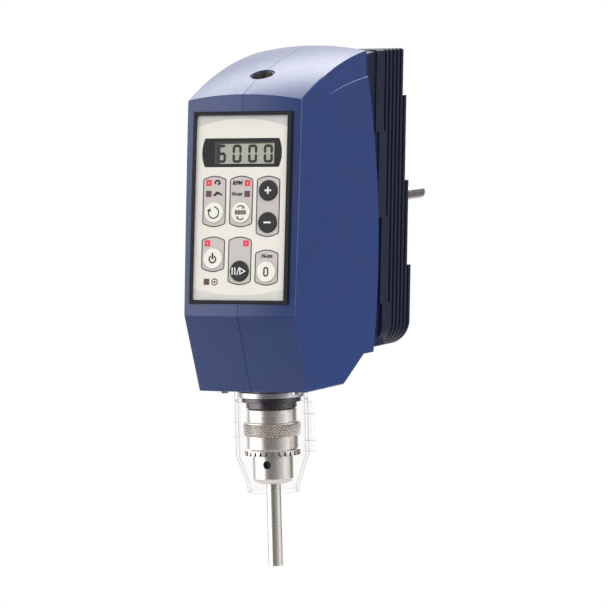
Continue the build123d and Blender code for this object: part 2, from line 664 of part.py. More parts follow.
def cast_frame():
    """The casting that carries both bearings and the motor, and its screws."""
    w = FRAME_HALF_WIDTH
    frame = block(-w, w, FRAME_FRONT, FRAME_REAR, WALL, WALL + FRAME_PLATE)
    top = FRAME_TOP_Z + FRAME_PLATE
    frame += block(-w, w, FRAME_FRONT, FRAME_TOP_REAR, FRAME_TOP_Z, top)
    for side in (-1, 1):
        x0, x1 = sorted((side * (w - FRAME_WEB), side * w))
        frame += block(x0, x1, FRAME_FRONT + 6, FRAME_REAR - 4, WALL, top)
    frame += rod(FRAME_BOSS_RADIUS, WALL, LOWER_BEARING_Z + BEARING_HEIGHT + 3)
    frame += rod(FRAME_NOSE_RADIUS, -2.0, WALL)
    frame += rod(FRAME_BOSS_RADIUS, UPPER_BEARING_Z - 3, top)
    for z in (LOWER_BEARING_Z, UPPER_BEARING_Z):
        frame -= rod(BEARING_RADIUS, z, z + BEARING_HEIGHT)
    passage = BEARING_OUTER_INNER_RADIUS
    frame -= rod(passage, -FAR, FAR)
    frame -= rod(MOTOR_SHAFT_RADIUS + 6, FRAME_TOP_Z - 1, top + 1, 0, MOTOR_Y)
    corners = frame.edges().filter_by(Axis.Z).filter_by(
        lambda e: e.length > FRAME_PLATE - 0.1 and abs(e.center().X) > w - 0.1
        and e.length < FRAME_PLATE + 0.1
    )
    frame = fillet(corners, 4.0)
    screws = []
    depth = WALL + FRAME_PLATE - 2
    for x, y in FRAME_SCREWS:
        frame -= rod(FRAME_SCREW_RADIUS, WALL - 1, depth, x, y)
        screw = rod(FRAME_SCREW_RADIUS, 0, depth - 0.3, x, y)
        head = rod(FRAME_SCREW_HEAD_RADIUS, -2.2, 0, x, y)
        screws.append(screw + head - rod(1.5, -2.3, -1.0, x, y))
    sensor_x = ENCODER_RADIUS - 3.5
    sensor = block(sensor_x, w - FRAME_WEB, -4, 4, ENCODER_Z - 5, ENCODER_Z + 6)
    sensor -= block(sensor_x - 1, ENCODER_RADIUS + 1.5, -6, 6, ENCODER_Z - 1.6,
                    ENCODER_Z + 2.4)
    return {
        "cast_frame": frame,
        "frame_screws": Compound(screws),
        "speed_sensor": sensor,
    }


# ---------------------------------------------------------------- chuck
def jaw_axis(azimuth, clearance_top=0.0):
    """The plane whose normal runs up along a jaw's own axis from its tip."""
    a = radians(azimuth)
    out = (sin(a), -cos(a))
    t = radians(JAW_TILT)
    origin = (out[0] * JAW_TIP_AXIS, out[1] * JAW_TIP_AXIS, JAW_TIP_Z)
    normal = (out[0] * sin(t), out[1] * sin(t), cos(t))
    return Plane(origin=origin, z_dir=normal)


def chuck_group():
    """Body, sleeve with its toothed rim, split nut and three jaws of the keyed chuck."""
    jaw_azimuths = [KEY_HOLE_AZIMUTH + 60 + 120 * n for n in range(3)]
    body = turned(
        (CHUCK_BORE_RADIUS, CHUCK_TOP - 1), (CHUCK_RADIUS - 1.2, CHUCK_TOP - 1),
        (CHUCK_RADIUS - 0.2, CHUCK_TOP - 2),
        (CHUCK_RADIUS - 0.2, CHUCK_NECK_TOP), (CHUCK_NECK_RADIUS, CHUCK_NECK_TOP),
        (CHUCK_NECK_RADIUS, CHUCK_NECK_FOOT), (CHUCK_RADIUS, CHUCK_NECK_FOOT),
        (CHUCK_RADIUS, CHUCK_NOSE + 3.6), (CHUCK_RADIUS - 1.2, CHUCK_NOSE + 1.2),
        (CHUCK_RADIUS - 3.8, CHUCK_NOSE), (CHUCK_BORE_RADIUS, CHUCK_NOSE),
    )
    body -= rod(SPINDLE_RADIUS, SPINDLE_FOOT, FAR)
    jaw_length = (JAW_TOP_Z - JAW_TIP_Z) / cos(radians(JAW_TILT))
    slide = jaw_travel()
    jaws = {}
    for n, azimuth in enumerate(jaw_azimuths):
        plane = jaw_axis(azimuth)
        body -= plane * Pos(0, 0, -8) * extrude(
            Circle(JAW_RADIUS + JAW_CLEARANCE), jaw_length + slide + 9
        )
        jaw = plane * Pos(0, 0, -4) * extrude(Circle(JAW_RADIUS), jaw_length + 4)
        jaw -= rod(SHAFT_RADIUS + GRIP_CLEARANCE, -FAR, FAR)
        jaw -= block(-FAR, FAR, -FAR, FAR, -FAR, JAW_TIP_Z + 0.4)
        jaws[f"chuck_jaw_{n + 1}"] = jaw.solids().sort_by(SortBy.VOLUME)[-1]
    for n in range(3):
        a = radians(KEY_HOLE_AZIMUTH + 120 * n)
        hole = Plane(origin=(0, 0, KEY_HOLE_Z), z_dir=(sin(a), -cos(a), 0))
        body -= hole * Pos(0, 0, CHUCK_RADIUS - KEY_HOLE_DEPTH) * extrude(
            Circle(KEY_HOLE_RADIUS), 2 * KEY_HOLE_DEPTH
        )
    inner = CHUCK_RADIUS + CHUCK_CLEARANCE
    lip_top = RIM_FOOT + 1.4
    sleeve = turned(
        (inner, SLEEVE_TOP), (SLEEVE_RADIUS - 0.8, SLEEVE_TOP),
        (SLEEVE_RADIUS, SLEEVE_TOP - 0.8), (SLEEVE_RADIUS, KNURL_TOP),
        (KNURL_RADIUS - 0.5, KNURL_TOP), (KNURL_RADIUS, KNURL_TOP - 0.5),
        (KNURL_RADIUS, KNURL_FOOT + 0.5), (KNURL_RADIUS - 0.5, KNURL_FOOT),
        (SLEEVE_LOWER_RADIUS, KNURL_FOOT), (SLEEVE_LOWER_RADIUS, RIM_TOP),
        (RIM_RADIUS, RIM_TOP - 1.0), (RIM_RADIUS, RIM_FOOT),
        (inner, RIM_FOOT), (inner, lip_top), (NUT_RADIUS, lip_top),
        (NUT_RADIUS, CHUCK_NECK_TOP), (inner, CHUCK_NECK_TOP),
    )
    tooth = make_face(
        Polyline((-1.35, -0.4), (1.35, -0.4), (0.35, TOOTH_DEPTH), (-0.35, TOOTH_DEPTH),
                 close=True)
    )
    for n in range(RIM_TEETH):
        turn = Rot(0, 0, 360 / RIM_TEETH * n)
        notch = Plane(origin=(0, RIM_RADIUS + 1 - TOOTH_REACH, RIM_FOOT), x_dir=(1, 0, 0),
                      z_dir=(0, -1, 0)) * extrude(tooth, -TOOTH_REACH)
        sleeve -= turn * notch
    envelope = JAW_TIP_AXIS + JAW_RADIUS / cos(radians(JAW_TILT)) + CHUCK_CLEARANCE
    nut_foot_radius = envelope + (lip_top - JAW_TIP_Z) * SWING
    nut_top_radius = envelope + (NUT_TOP - JAW_TIP_Z) * SWING
    nut = turned(
        (nut_foot_radius, lip_top), (NUT_RADIUS, lip_top), (NUT_RADIUS, NUT_TOP),
        (nut_top_radius, NUT_TOP),
    )
    pieces = {"chuck_body": body, "chuck_sleeve": sleeve, "chuck_nut": nut}
    pieces.update(jaws)
    return pieces


def jaw_travel():
    """How far a jaw slides along its own axis from the shaft to the chuck's capacity."""
    return (CHUCK_CAPACITY_RADIUS - SHAFT_RADIUS) / sin(radians(JAW_TILT))


def stirring_shaft():
    """A plain round shaft, through the chuck and up inside the hollow spindle."""
    top = SHAFT_FOOT + SHAFT_LENGTH
    return turned(
        (0, SHAFT_FOOT), (SHAFT_RADIUS - 0.4, SHAFT_FOOT), (SHAFT_RADIUS, SHAFT_FOOT + 0.4),
        (SHAFT_RADIUS, top - 1), (SHAFT_RADIUS - 1, top), (0, top),
    )


# ---------------------------------------------------------------- chuck guard
def guard_group():
    """The clear guard: a collar, a fixed rear half and a front half on a hinge."""
    r, w = GUARD_RADIUS, GUARD_WALL
    collar = turned(
        (r - w, GUARD_COLLAR_FOOT), (GUARD_COLLAR_RADIUS, GUARD_COLLAR_FOOT),
        (GUARD_COLLAR_RADIUS, 0), (FRAME_NOSE_RADIUS + 0.5, 0), (FRAME_NOSE_RADIUS + 0.5, -2),
        (NOSE_RING_RADIUS + 0.4, -2), (r - w, -4),
    )
    cup = turned(
        (r - w, GUARD_COLLAR_FOOT), (r, GUARD_COLLAR_FOOT), (r, GUARD_SHOULDER_Z),
        (GUARD_LIP_RADIUS, GUARD_LIP_Z), (GUARD_LIP_RADIUS, GUARD_FOOT),
        (GUARD_LIP_RADIUS - w, GUARD_FOOT), (GUARD_LIP_RADIUS - w, GUARD_LIP_Z - 0.6),
        (r - w, GUARD_SHOULDER_Z - 0.6),
    )
    window_z = (GUARD_LIP_Z + GUARD_FOOT) / 2
    for n in range(GUARD_WINDOWS):
        turn = Rot(0, 0, 360 / GUARD_WINDOWS * (n + 0.5))
        cup -= turn * Pos(GUARD_LIP_RADIUS - w / 2, 0, window_z) * Box(2 * w, 3.6, 1.8)
    rear_knuckles = ((HINGE_TOP - HINGE_KNUCKLE, HINGE_TOP),
                     (HINGE_FOOT, HINGE_FOOT + HINGE_KNUCKLE))
    front_knuckle = (rear_knuckles[1][1] + HINGE_CLEARANCE,
                     rear_knuckles[0][0] - HINGE_CLEARANCE)
    web = HINGE_RADIUS * 0.8
    halves = {}
    for name, side, knuckles, others in (
        ("guard_rear", 1, rear_knuckles, (front_knuckle,)),
        ("guard_front", -1, (front_knuckle,), rear_knuckles),
    ):
        edge = side * GUARD_SPLIT / 2
        keep = block(-FAR, FAR, min(edge, side * FAR), max(edge, side * FAR), -FAR, 1)
        half = cup & keep
        if name == "guard_front":
            top = GUARD_COLLAR_FOOT - HINGE_CLEARANCE
            half = half - block(-FAR, FAR, -FAR, FAR, top, 1)
        for low, high in others:
            half -= rod(HINGE_RADIUS + HINGE_CLEARANCE, low - HINGE_CLEARANCE,
                        high + HINGE_CLEARANCE, HINGE_X, 0)
        for low, high in knuckles:
            half += rod(HINGE_RADIUS, low, high, HINGE_X, 0)
            y0, y1 = sorted((side * 0.6, side * (0.6 + web)))
            half += block(r - w, HINGE_X, y0, y1, low, high) - rod(r - w / 2, -FAR, FAR)
        bore = HINGE_PIN_RADIUS + (PIN_CLEARANCE if name == "guard_front" else 0)
        halves[name] = half - rod(bore, -FAR, FAR, HINGE_X, 0)
    pin = rod(HINGE_PIN_RADIUS, HINGE_FOOT - 1.2, HINGE_TOP, HINGE_X, 0)
    pin += rod(HINGE_PIN_RADIUS * 1.8, HINGE_TOP, HINGE_TOP + 1.2, HINGE_X, 0)
    latch_z = (-34.0, -24.0)
    latch = block(-r - 2.4, -r + 0.6, -7, 4.2, *latch_z)
    latch -= rod(r + HINGE_CLEARANCE, -FAR, FAR)
    tab = block(-r - 1.2, -r + w / 2, -7, -4, *latch_z) - rod(r - w / 4, -FAR, FAR)
    latch = (latch + (tab & rod(r + 0.5, -FAR, FAR))).solids().sort_by(SortBy.VOLUME)[-1]
    halves["guard_front"] = halves["guard_front"] + latch
    ring = tube(NOSE_RING_RADIUS, FRAME_NOSE_RADIUS + 0.2, -2 - NOSE_RING_HEIGHT, -2)
    return {
        "guard_collar": collar,
        "guard_rear": halves["guard_rear"],
        "guard_front": halves["guard_front"],
        "guard_hinge_pin": pin,
        "nose_ring": ring,
    }


# ---------------------------------------------------------------- heat sink and support rod
def fin_y(fin, z):
    """Middle of a fin in y at height z: the fins lean forward towards the foot."""
    return FIRST_FIN_Y + fin * FIN_PITCH + (z - FIN_DATUM_Z) * LEAN


def leaning_plate(fin, front, rear, low, high, half_width, rounded=False):
    """A plate parallel to the fins, from `front` to `rear` of a fin's middle plane."""
    points = [
        (fin_y(fin, low) + front, low), (fin_y(fin, low) + rear, low),
        (fin_y(fin, high) + rear, high), (fin_y(fin, high) + front, high),
    ]
    outline = make_face(Polyline(*points, close=True))
    if rounded:
        outline = fillet(outline.vertices().sort_by(Axis.Y)[-1], FIN_EDGE_ROUND)
    return side_prism(outline, half_width)


def fin_section():
    """Front view of the fins: square above, with large rounded corners below."""
    w = FIN_HALF_WIDTH
    outline = make_face(Polyline((-w, SINK_FOOT), (w, SINK_FOOT), (w, SINK_TOP),
                                 (-w, SINK_TOP), close=True))
    low = outline.vertices().filter_by(lambda v: v.Y < SINK_FOOT + 1)
    outline = fillet(low, FIN_CORNER)
    high = outline.vertices().filter_by(lambda v: v.Y > SINK_TOP - 1)
    outline = fillet(high, 1.5)
    return extrude(Plane.XZ * outline, -FAR)


def heat_sink():
    """A casting with a tray in the housing, a spine and leaning fins in steps."""
    half = FIN_THICKNESS / 2
    gap = FIN_PITCH - FIN_THICKNESS
    wide = 2 * FIN_HALF_WIDTH
    fins = None
    pad_top = SINK_TOP
    for n in range(FULL_FINS + STEPPED_FINS):
        top = SINK_TOP
        if n >= FULL_FINS:
            top = FIRST_REAR_STEP_Z - (n - FULL_FINS) * FIN_STEP_HEIGHT
        plate = leaning_plate(n, -half, half, SINK_FOOT, top, wide, rounded=top < SINK_TOP)
        fins = plate if fins is None else fins + plate
        fins += leaning_plate(n, -half - gap, -half, SINK_FOOT, top - 4, SPINE_HALF_WIDTH)
        if pad_top > SINK_FOOT:
            pad_foot = max(FIRST_FRONT_STEP_Z - n * FIN_STEP_HEIGHT, SINK_FOOT)
            fins += leaning_plate(n, -PAD_DEPTH, -half - gap, pad_foot, pad_top, wide)
            pad_top = pad_foot if pad_foot > SINK_FOOT else 0
    inset = WALL + SINK_CLEARANCE
    tray_foot = SINK_FOOT + inset
    tray = sink_block(SINK_FRONT, SINK_PLATE_FRONT + 2, tray_foot, inset)
    back = fins + sink_block(SINK_SHOULDER, FIRST_FIN_Y - 12, SINK_FOOT, inset)
    body = tray + (back & fin_section() & block(-FAR, FAR, SINK_SHOULDER, FAR, -FAR, FAR))
    body += along_y(ROD_BOSS_RADIUS, 0, ROD_Z, FIRST_FIN_Y, ROD_ROOT_Y)
    body -= sink_block(SINK_FRONT - 1, SINK_PLATE_FRONT, tray_foot + SINK_WALL,
                       inset + SINK_WALL, SINK_WALL)
    body -= along_y(ROD_SPIGOT_RADIUS, 0, ROD_Z, SINK_PLATE_FRONT + 8, FAR)
    body -= along_y(ROD_THREAD_RADIUS, 0, ROD_Z, SINK_PLATE_FRONT - 1, FAR)
    return body


def sink_block(front, rear, low, inset, floor=0.0):
    """A block with the housing's own cross-section, inset from its sides and top."""
    solid = block(-FAR, FAR, front, rear, low, SINK_TOP - 0.5 - floor)
    return solid & front_section(inset) & crowned_barrel(inset + floor)


def support_rod():
    """The round rod that a clamp holds, its spigot and threaded end, and its nut."""
    shoulder = SINK_PLATE_FRONT + 8
    bar = along_y(ROD_RADIUS, 0, ROD_Z, ROD_ROOT_Y, ROD_ROOT_Y + ROD_REACH)
    end = bar.edges().sort_by(Axis.Y)[-1]
    bar = chamfer(end, 0.8)
    bar += along_y(ROD_SPIGOT_RADIUS, 0, ROD_Z, shoulder, ROD_ROOT_Y)
    bar += along_y(ROD_THREAD_RADIUS, 0, ROD_Z, SINK_PLATE_FRONT - ROD_NUT_HEIGHT - 2, shoulder)
    nut_plane = Plane(origin=(0, SINK_PLATE_FRONT - ROD_NUT_HEIGHT, ROD_Z), z_dir=(0, 1, 0))
    nut = nut_plane * extrude(
        RegularPolygon(ROD_NUT_RADIUS, 6) - Circle(ROD_THREAD_RADIUS), ROD_NUT_HEIGHT
    )
    return {"support_rod": bar, "support_rod_nut": nut}


# ---------------------------------------------------------------- power parts
SLOPE_ANGLE = atan2(SLOPE_END[1] - FLAT_END[1], SLOPE_END[0] - FLAT_END[0])
INLET = Plane(
    origin=(0, (FLAT_END[0] + SLOPE_END[0]) / 2, (FLAT_END[1] + SLOPE_END[1]) / 2),
    x_dir=(1, 0, 0),
    z_dir=(0, sin(SLOPE_ANGLE), -cos(SLOPE_ANGLE)),
)


def power_group():
    """Power board on posts in the heat sink's tray, and the mains inlet below."""
    y0, y1 = POWER_BOARD_Y, POWER_BOARD_Y + BOARD_THICKNESS
    w = POWER_BOARD_HALF_WIDTH
    board = block(-w, w, y0, y1, POWER_BOARD_FOOT, POWER_BOARD_TOP)
    posts = []
    for x in (-w + 5, w - 5):
        for z in (POWER_BOARD_FOOT + 5, POWER_BOARD_TOP - 5):
            posts.append(along_y(POST_RADIUS, x, z, y1, SINK_PLATE_FRONT))
    parts = [
        along_y(8.0, -12, 62, y1, y1 + 19),
        along_y(8.0, 8, 62, y1, y1 + 19),
        block(-20, 14, y1, y1 + 16, 76, 94),
        block(-18, -6, y1, y1 + 12, 38, 48),
        block(2, 18, y1, y1 + 8, 40, 48),
    ]
    body = INLET * Pos(0, 0, -INLET_DEPTH) * extrude(
        Rectangle(INLET_BODY_WIDTH, INLET_BODY_HEIGHT), INLET_DEPTH
    )
    body += INLET * extrude(RectangleRounded(INLET_WIDTH, INLET_HEIGHT, 3), INLET_FLANGE)
    socket = RectangleRounded(INLET_BODY_WIDTH - 3.4, INLET_BODY_HEIGHT - 4.4, 2)
    body -= INLET * Pos(0, 0, -INLET_DEPTH + 3) * extrude(socket, INLET_DEPTH + 3)
    for u, v in ((-7.0, -2.0), (0.0, 2.0), (7.0, -2.0)):
        pin = RectangleRounded(INLET_PIN_WIDTH, INLET_PIN_HEIGHT, 0.4)
        body += INLET * Pos(u, v, -INLET_DEPTH + 1) * extrude(pin, INLET_DEPTH - 3)
    screws = []
    for u in (-INLET_SCREW_X, INLET_SCREW_X):
        body -= INLET * Pos(u, 0, -1) * extrude(Circle(1.65), INLET_FLANGE + 2)
        screw = Pos(u, 0, 0) * extrude(Circle(1.5), INLET_FLANGE + 0.6)
        screw += Pos(u, 0, INLET_FLANGE) * extrude(Circle(2.8), 1.4)
        screw -= Pos(u, 0, INLET_FLANGE + 1.4) * Box(4.0, 0.8, 1.2)
        screws.append(INLET * screw)
    return {
        "power_board": board,
        "board_posts": Compound(posts),
        "power_components": Compound(parts),
        "power_inlet": body,
        "inlet_screws": Compound(screws),
    }


def top_bush():
    """A plain bush in the top hole, whose flange bears on the inside of the shells."""
    y, z, radius = top_centre()
    rise = sqrt(radius**2 - y**2)
    level = Plane(origin=(0, 0, z + rise), x_dir=(1, 0, 0), z_dir=(0, -y / radius, rise / radius))
    proud = level * Pos(0, 0, FAR / 2 - BUSH_RECESS) * Box(FAR, FAR, FAR)
    under = level * Pos(0, 0, -FAR / 2 - WALL - BUSH_FLANGE) * Box(FAR, FAR, FAR)
    bore = TOP_HOLE_RADIUS - 1.3
    barrel = tube(TOP_HOLE_RADIUS - 0.1, bore, SPINDLE_TOP + 1, HOUSING_HEIGHT) - proud
    flange = tube(TOP_HOLE_RADIUS + 2, bore, SPINDLE_TOP - 20, HOUSING_HEIGHT) & form(WALL + 0.05)
    return barrel + (flange - under)


# ---------------------------------------------------------------- the whole stirrer
def pieces():
    """Every node by name."""
    nodes = {}
    nodes.update(housing())
    nodes.update(control_panel())
    nodes.update(spindle_group())
    nodes.update(motor_group())
    nodes.update(cast_frame())
    nodes.update(chuck_group())
    nodes.update(guard_group())
    nodes.update(support_rod())
    nodes.update(power_group())
    nodes["heat_sink"] = heat_sink()
    nodes["stirring_shaft"] = stirring_shaft()
    nodes["top_bush"] = top_bush()
    return nodes


os.makedirs("parts", exist_ok=True)
TO_ORIGIN = Pos(0, -ROD_ROOT_Y, -ROD_Z)
for node, shape in pieces().items():
    export_step(TO_ORIGIN * shape, f"parts/{node}.step")
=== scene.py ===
from math import cos, radians, sin, tau

import bpy
from mathutils import Matrix, Vector


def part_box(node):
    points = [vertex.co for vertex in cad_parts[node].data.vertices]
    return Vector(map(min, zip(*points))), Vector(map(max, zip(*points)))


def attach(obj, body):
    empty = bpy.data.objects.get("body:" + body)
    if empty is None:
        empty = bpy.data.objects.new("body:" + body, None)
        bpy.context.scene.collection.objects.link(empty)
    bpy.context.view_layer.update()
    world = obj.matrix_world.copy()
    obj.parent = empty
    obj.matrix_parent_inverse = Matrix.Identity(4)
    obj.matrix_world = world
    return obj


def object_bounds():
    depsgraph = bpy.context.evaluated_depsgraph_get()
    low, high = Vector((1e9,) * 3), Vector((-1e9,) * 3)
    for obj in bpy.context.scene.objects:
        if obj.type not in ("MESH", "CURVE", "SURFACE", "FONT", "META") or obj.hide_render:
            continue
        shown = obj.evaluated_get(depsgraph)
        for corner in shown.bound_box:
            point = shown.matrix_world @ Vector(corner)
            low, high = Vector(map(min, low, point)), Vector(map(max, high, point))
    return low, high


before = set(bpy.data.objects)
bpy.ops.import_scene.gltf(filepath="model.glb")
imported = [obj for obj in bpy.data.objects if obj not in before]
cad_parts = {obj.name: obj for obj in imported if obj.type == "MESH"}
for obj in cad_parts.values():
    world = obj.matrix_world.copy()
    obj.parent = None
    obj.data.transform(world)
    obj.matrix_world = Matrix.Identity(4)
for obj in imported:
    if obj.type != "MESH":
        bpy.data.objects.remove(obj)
cad_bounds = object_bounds()

# ---------------------------------------------------------------- driving values
# Metres, in the row frame: the origin is where the support rod leaves the heat sink.
MM = 0.001
shaft_low, shaft_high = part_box("stirring_shaft")
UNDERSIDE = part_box("housing_left")[0][2]
SPINDLE_AXIS = Vector(((shaft_low[0] + shaft_high[0]) / 2, (shaft_low[1] + shaft_high[1]) / 2,
                       UNDERSIDE))

# camera: it looks at AIM from DISTANCE away, and then moves sideways and up
PICTURE_SIDE_PX = 608
SENSOR_WIDTH_MM = 36.0
FOCAL_PX = 4500.0
FAR_CLIP = 50.0
DISTANCE = 3.059
AZIMUTH = radians(25.0)
PITCH = radians(4.337)
ROLL = radians(-1.516)
AIM = SPINDLE_AXIS + Vector((0.0, 0.0, 0.100))
SHIFT_RIGHT = 0.025171
SHIFT_UP = -0.042569

# control panel graphics, in millimetres from the label's middle: u to the right, v up
PANEL_TILT = radians(6.97)
LABEL_HALF_WIDTH = 34.0
LABEL_HALF_HEIGHT = 62.2
LABEL_HALF_THICKNESS = 0.6
LABEL_MARGIN = 0.2               # the printed ends stop this far inside the label's edge
TOP_ARC = (54.6, 60.0)           # v of the top band's arc, at its ends and in its middle
FOOT_ARC = (-54.4, -58.8)
INK = 0.06                       # thickness of a printed layer
POD_HALF_WIDTH = 8.7
POD_CORNER = 2.2
POD_BOW = 1.5                    # rise of a pod's ends in their middle
BOW_STEPS = 10                   # straight steps along a pod's bowed end
BAND_STEPS = 24                  # and along a band's arc
CORNER_STEPS = 6                 # and round a corner
ARROW_STEPS = 18                 # and round an arrow
RING_STEPS = 24                  # and round a ring
KEY_HOLE_STEPS = 35              # and round a key's hole
POD_LINE = 0.75                  # width of a pod's dark outline
POD_LINE_INK = 1.6 * INK
PODS = (                         # (middle u, low v, high v)
    (-19.6, -13.1, 21.6),
    (0.4, -13.1, 21.6),
    (20.4, -19.6, 21.5),
    (-19.6, -43.3, -19.3),
    (0.4, -52.0, -19.3),
    (20.4, -52.2, -28.0),
)
KEY_SPOTS = {
    "key_direction": (-19.6, -3.3),
    "key_mode": (0.4, -3.3),
    "key_plus": (20.4, 11.6),
    "key_minus": (20.4, -9.9),
    "key_power": (-19.6, -34.2),
    "key_run": (0.4, -42.6),
    "key_zero": (20.4, -43.0),
}
KEY_HOLE = 7.05                  # radius of the print's clearance round a key
KEY_TOP = 1.5                    # a key's face above the label's middle plane
WORDS = (                        # (name, words, size, u, v)
    ("label_rpm", "RPM", 3.7, -2.9, 16.6),
    ("label_torque", "N-cm", 3.3, -3.0, 9.3),
    ("label_zero", "N-cm", 3.5, 20.4, -32.4),
)
WORD_SLANT = 0.25
WORD_BOLD = 0.2                  # how much wider a letter's strokes are to each side
ARROW_HEAD = 1.5                 # an arrow head's length, in halves of its width
SIGN_REACH = 2.4                 # half the length of a plus sign's bars
SIGN_HALF = 0.6                  # half their width
TURNING_SPOT = (-17.6, 16.6)
REVERSED_SPOT = (-17.4, 9.3)
FAULT_SPOT = (-18.0, -50.0)
LAMP_MARKS = ((-24.0, 16.8), (4.8, 16.6), (-24.0, -24.0), (4.8, -23.9))
LAMP_FACE = LABEL_HALF_THICKNESS + 0.15
WINDOW_FACE = 0.4                # the window's face above the label's middle plane
GLASS_BOX = (-20.4, 29.6, 24.0, 44.4)          # (left u, low v, right u, high v)
GLASS_SHADE_SIDE = 4.0           # shade of the window's edge on the glass: at its left
GLASS_SHADE_TOP = 1.1            # and along its top
GLASS_SHADE_SLANT = 0.4
GLASS_SHADE_LIFT = 0.6 * INK
DIGITS = "6000"
DIGIT_LEFT = -18.6
DIGIT_PITCH = 11.6
DIGIT_WIDTH = 6.8
DIGIT_HEIGHT = 12.4
DIGIT_MIDDLE_V = 36.4
DIGIT_STROKE = 1.9
DIGIT_GAP = 0.12                 # between the bars of a digit


def srgb(r, g, b):
    """Linear colour of an 8-bit sRGB triple."""
    def one(v):
        v /= 255
        return v / 12.92 if v <= 0.04045 else ((v + 0.055) / 1.055) ** 2.4
    return one(r), one(g), one(b), 1.0


# ---------------------------------------------------------------- materials
GRAIN_ENDS = (0.3, 0.7)          # values of the noise between which the gloss changes
PATCH_ENDS = (0.35, 0.65)        # and between which the tone does
PATCH_SIZE = 25.0                # millimetres
FINEST_GLOSS = 0.02              # no surface is smoother than this roughness
GUARD_TINT = (0.996, 0.995, 0.995, 1)
GUARD_GLOSS = (0.4, 0.37, 0.37, 1)
GUARD_EDGE_START = 0.45          # how far a face turns away before its gloss rises
GUARD_GLOSS_SHARE = (0.01, 0.9)  # of the gloss, seen squarely and seen edge-on
SOFT_EDGES = {"housing_left": 0.9, "housing_right": 0.9, "heat_sink": 0.7, "bezel": 0.25}
SOFT_EDGE_ANGLE = radians(35)


def grain(nodes, links, size, stretch):
    """Noise whose cells measure size millimetres, drawn out along the axes by stretch."""
    where = nodes.new("ShaderNodeTexCoord")
    scaled = nodes.new("ShaderNodeMapping")
    scaled.inputs["Scale"].default_value = [1 / (size * MM * pull) for pull in stretch]
    noise = nodes.new("ShaderNodeTexNoise")
    noise.inputs["Scale"].default_value = 1.0
    noise.inputs["Detail"].default_value = 3.0
    links.new(where.outputs["Object"], scaled.inputs["Vector"])
    links.new(scaled.outputs["Vector"], noise.inputs["Vector"])
    return noise.outputs["Fac"]


def material(name, colour, roughness, metallic=0.0, glow=0.0, cell=0.7, relief=0.004,
             uneven=0.05, stretch=(1, 1, 1), tone=0.05, specular=0.5):
    """A Principled material with fine relief and small changes of gloss and tone.

    cell is the grain's size and relief its height in millimetres, uneven the spread of the
    roughness, and tone the spread of the colour over patches some centimetres wide.
    """
    made = bpy.data.materials.new(name)
    made.use_nodes = True
    nodes, links = made.node_tree.nodes, made.node_tree.links
    shader = nodes["Principled BSDF"].inputs
    shader["Metallic"].default_value = metallic
    shader["Specular IOR Level"].default_value = specular
    if glow:
        shader["Emission Color"].default_value = colour
        shader["Emission Strength"].default_value = glow
    fine = grain(nodes, links, cell, stretch)
    bump = nodes.new("ShaderNodeBump")
    bump.inputs["Strength"].default_value = 1.0
    bump.inputs["Distance"].default_value = relief * MM
    links.new(fine, bump.inputs["Height"])
    links.new(bump.outputs["Normal"], shader["Normal"])
    gloss = nodes.new("ShaderNodeMapRange")
    gloss.inputs["From Min"].default_value = GRAIN_ENDS[0]
    gloss.inputs["From Max"].default_value = GRAIN_ENDS[1]
    gloss.inputs["To Min"].default_value = max(roughness - uneven, FINEST_GLOSS)
    gloss.inputs["To Max"].default_value = roughness + uneven
    links.new(fine, gloss.inputs["Value"])
    links.new(gloss.outputs["Result"], shader["Roughness"])
    patches = nodes.new("ShaderNodeValToRGB")
    for stop, place, shade in zip(patches.color_ramp.elements, PATCH_ENDS, (1 - tone, 1 + tone)):
        stop.position = place
        stop.color = [min(part * shade, 1.0) for part in colour[:3]] + [1.0]
    links.new(grain(nodes, links, PATCH_SIZE, (1, 1, 1)), patches.inputs["Fac"])
    links.new(patches.outputs["Color"], shader["Base Color"])
    return made


def clear_plastic(name):
    """Thin clear plastic: see-through and slightly grey, with gloss where it is seen edge-on."""
    made = bpy.data.materials.new(name)
    made.use_nodes = True
    nodes, links = made.node_tree.nodes, made.node_tree.links
    nodes.remove(nodes["Principled BSDF"])
    through = nodes.new("ShaderNodeBsdfTransparent")
    through.inputs["Color"].default_value = GUARD_TINT
    gloss = nodes.new("ShaderNodeBsdfGlossy")
    gloss.inputs["Color"].default_value = GUARD_GLOSS
    gloss.inputs["Roughness"].default_value = 0.12
    bump = nodes.new("ShaderNodeBump")
    bump.inputs["Distance"].default_value = 0.01 * MM
    links.new(grain(nodes, links, 3.0, (1, 1, 1)), bump.inputs["Height"])
    links.new(bump.outputs["Normal"], gloss.inputs["Normal"])
    edge = nodes.new("ShaderNodeLayerWeight")
    edge.inputs["Blend"].default_value = 0.25
    share = nodes.new("ShaderNodeMapRange")
    share.inputs["From Min"].default_value = GUARD_EDGE_START
    share.inputs["To Min"].default_value = GUARD_GLOSS_SHARE[0]
    share.inputs["To Max"].default_value = GUARD_GLOSS_SHARE[1]
    links.new(edge.outputs["Facing"], share.inputs["Value"])
    mix = nodes.new("ShaderNodeMixShader")
    links.new(share.outputs["Result"], mix.inputs["Fac"])
    links.new(through.outputs["BSDF"], mix.inputs[1])
    links.new(gloss.outputs["BSDF"], mix.inputs[2])
    links.new(mix.outputs["Shader"], nodes["Material Output"].inputs["Surface"])
    return made


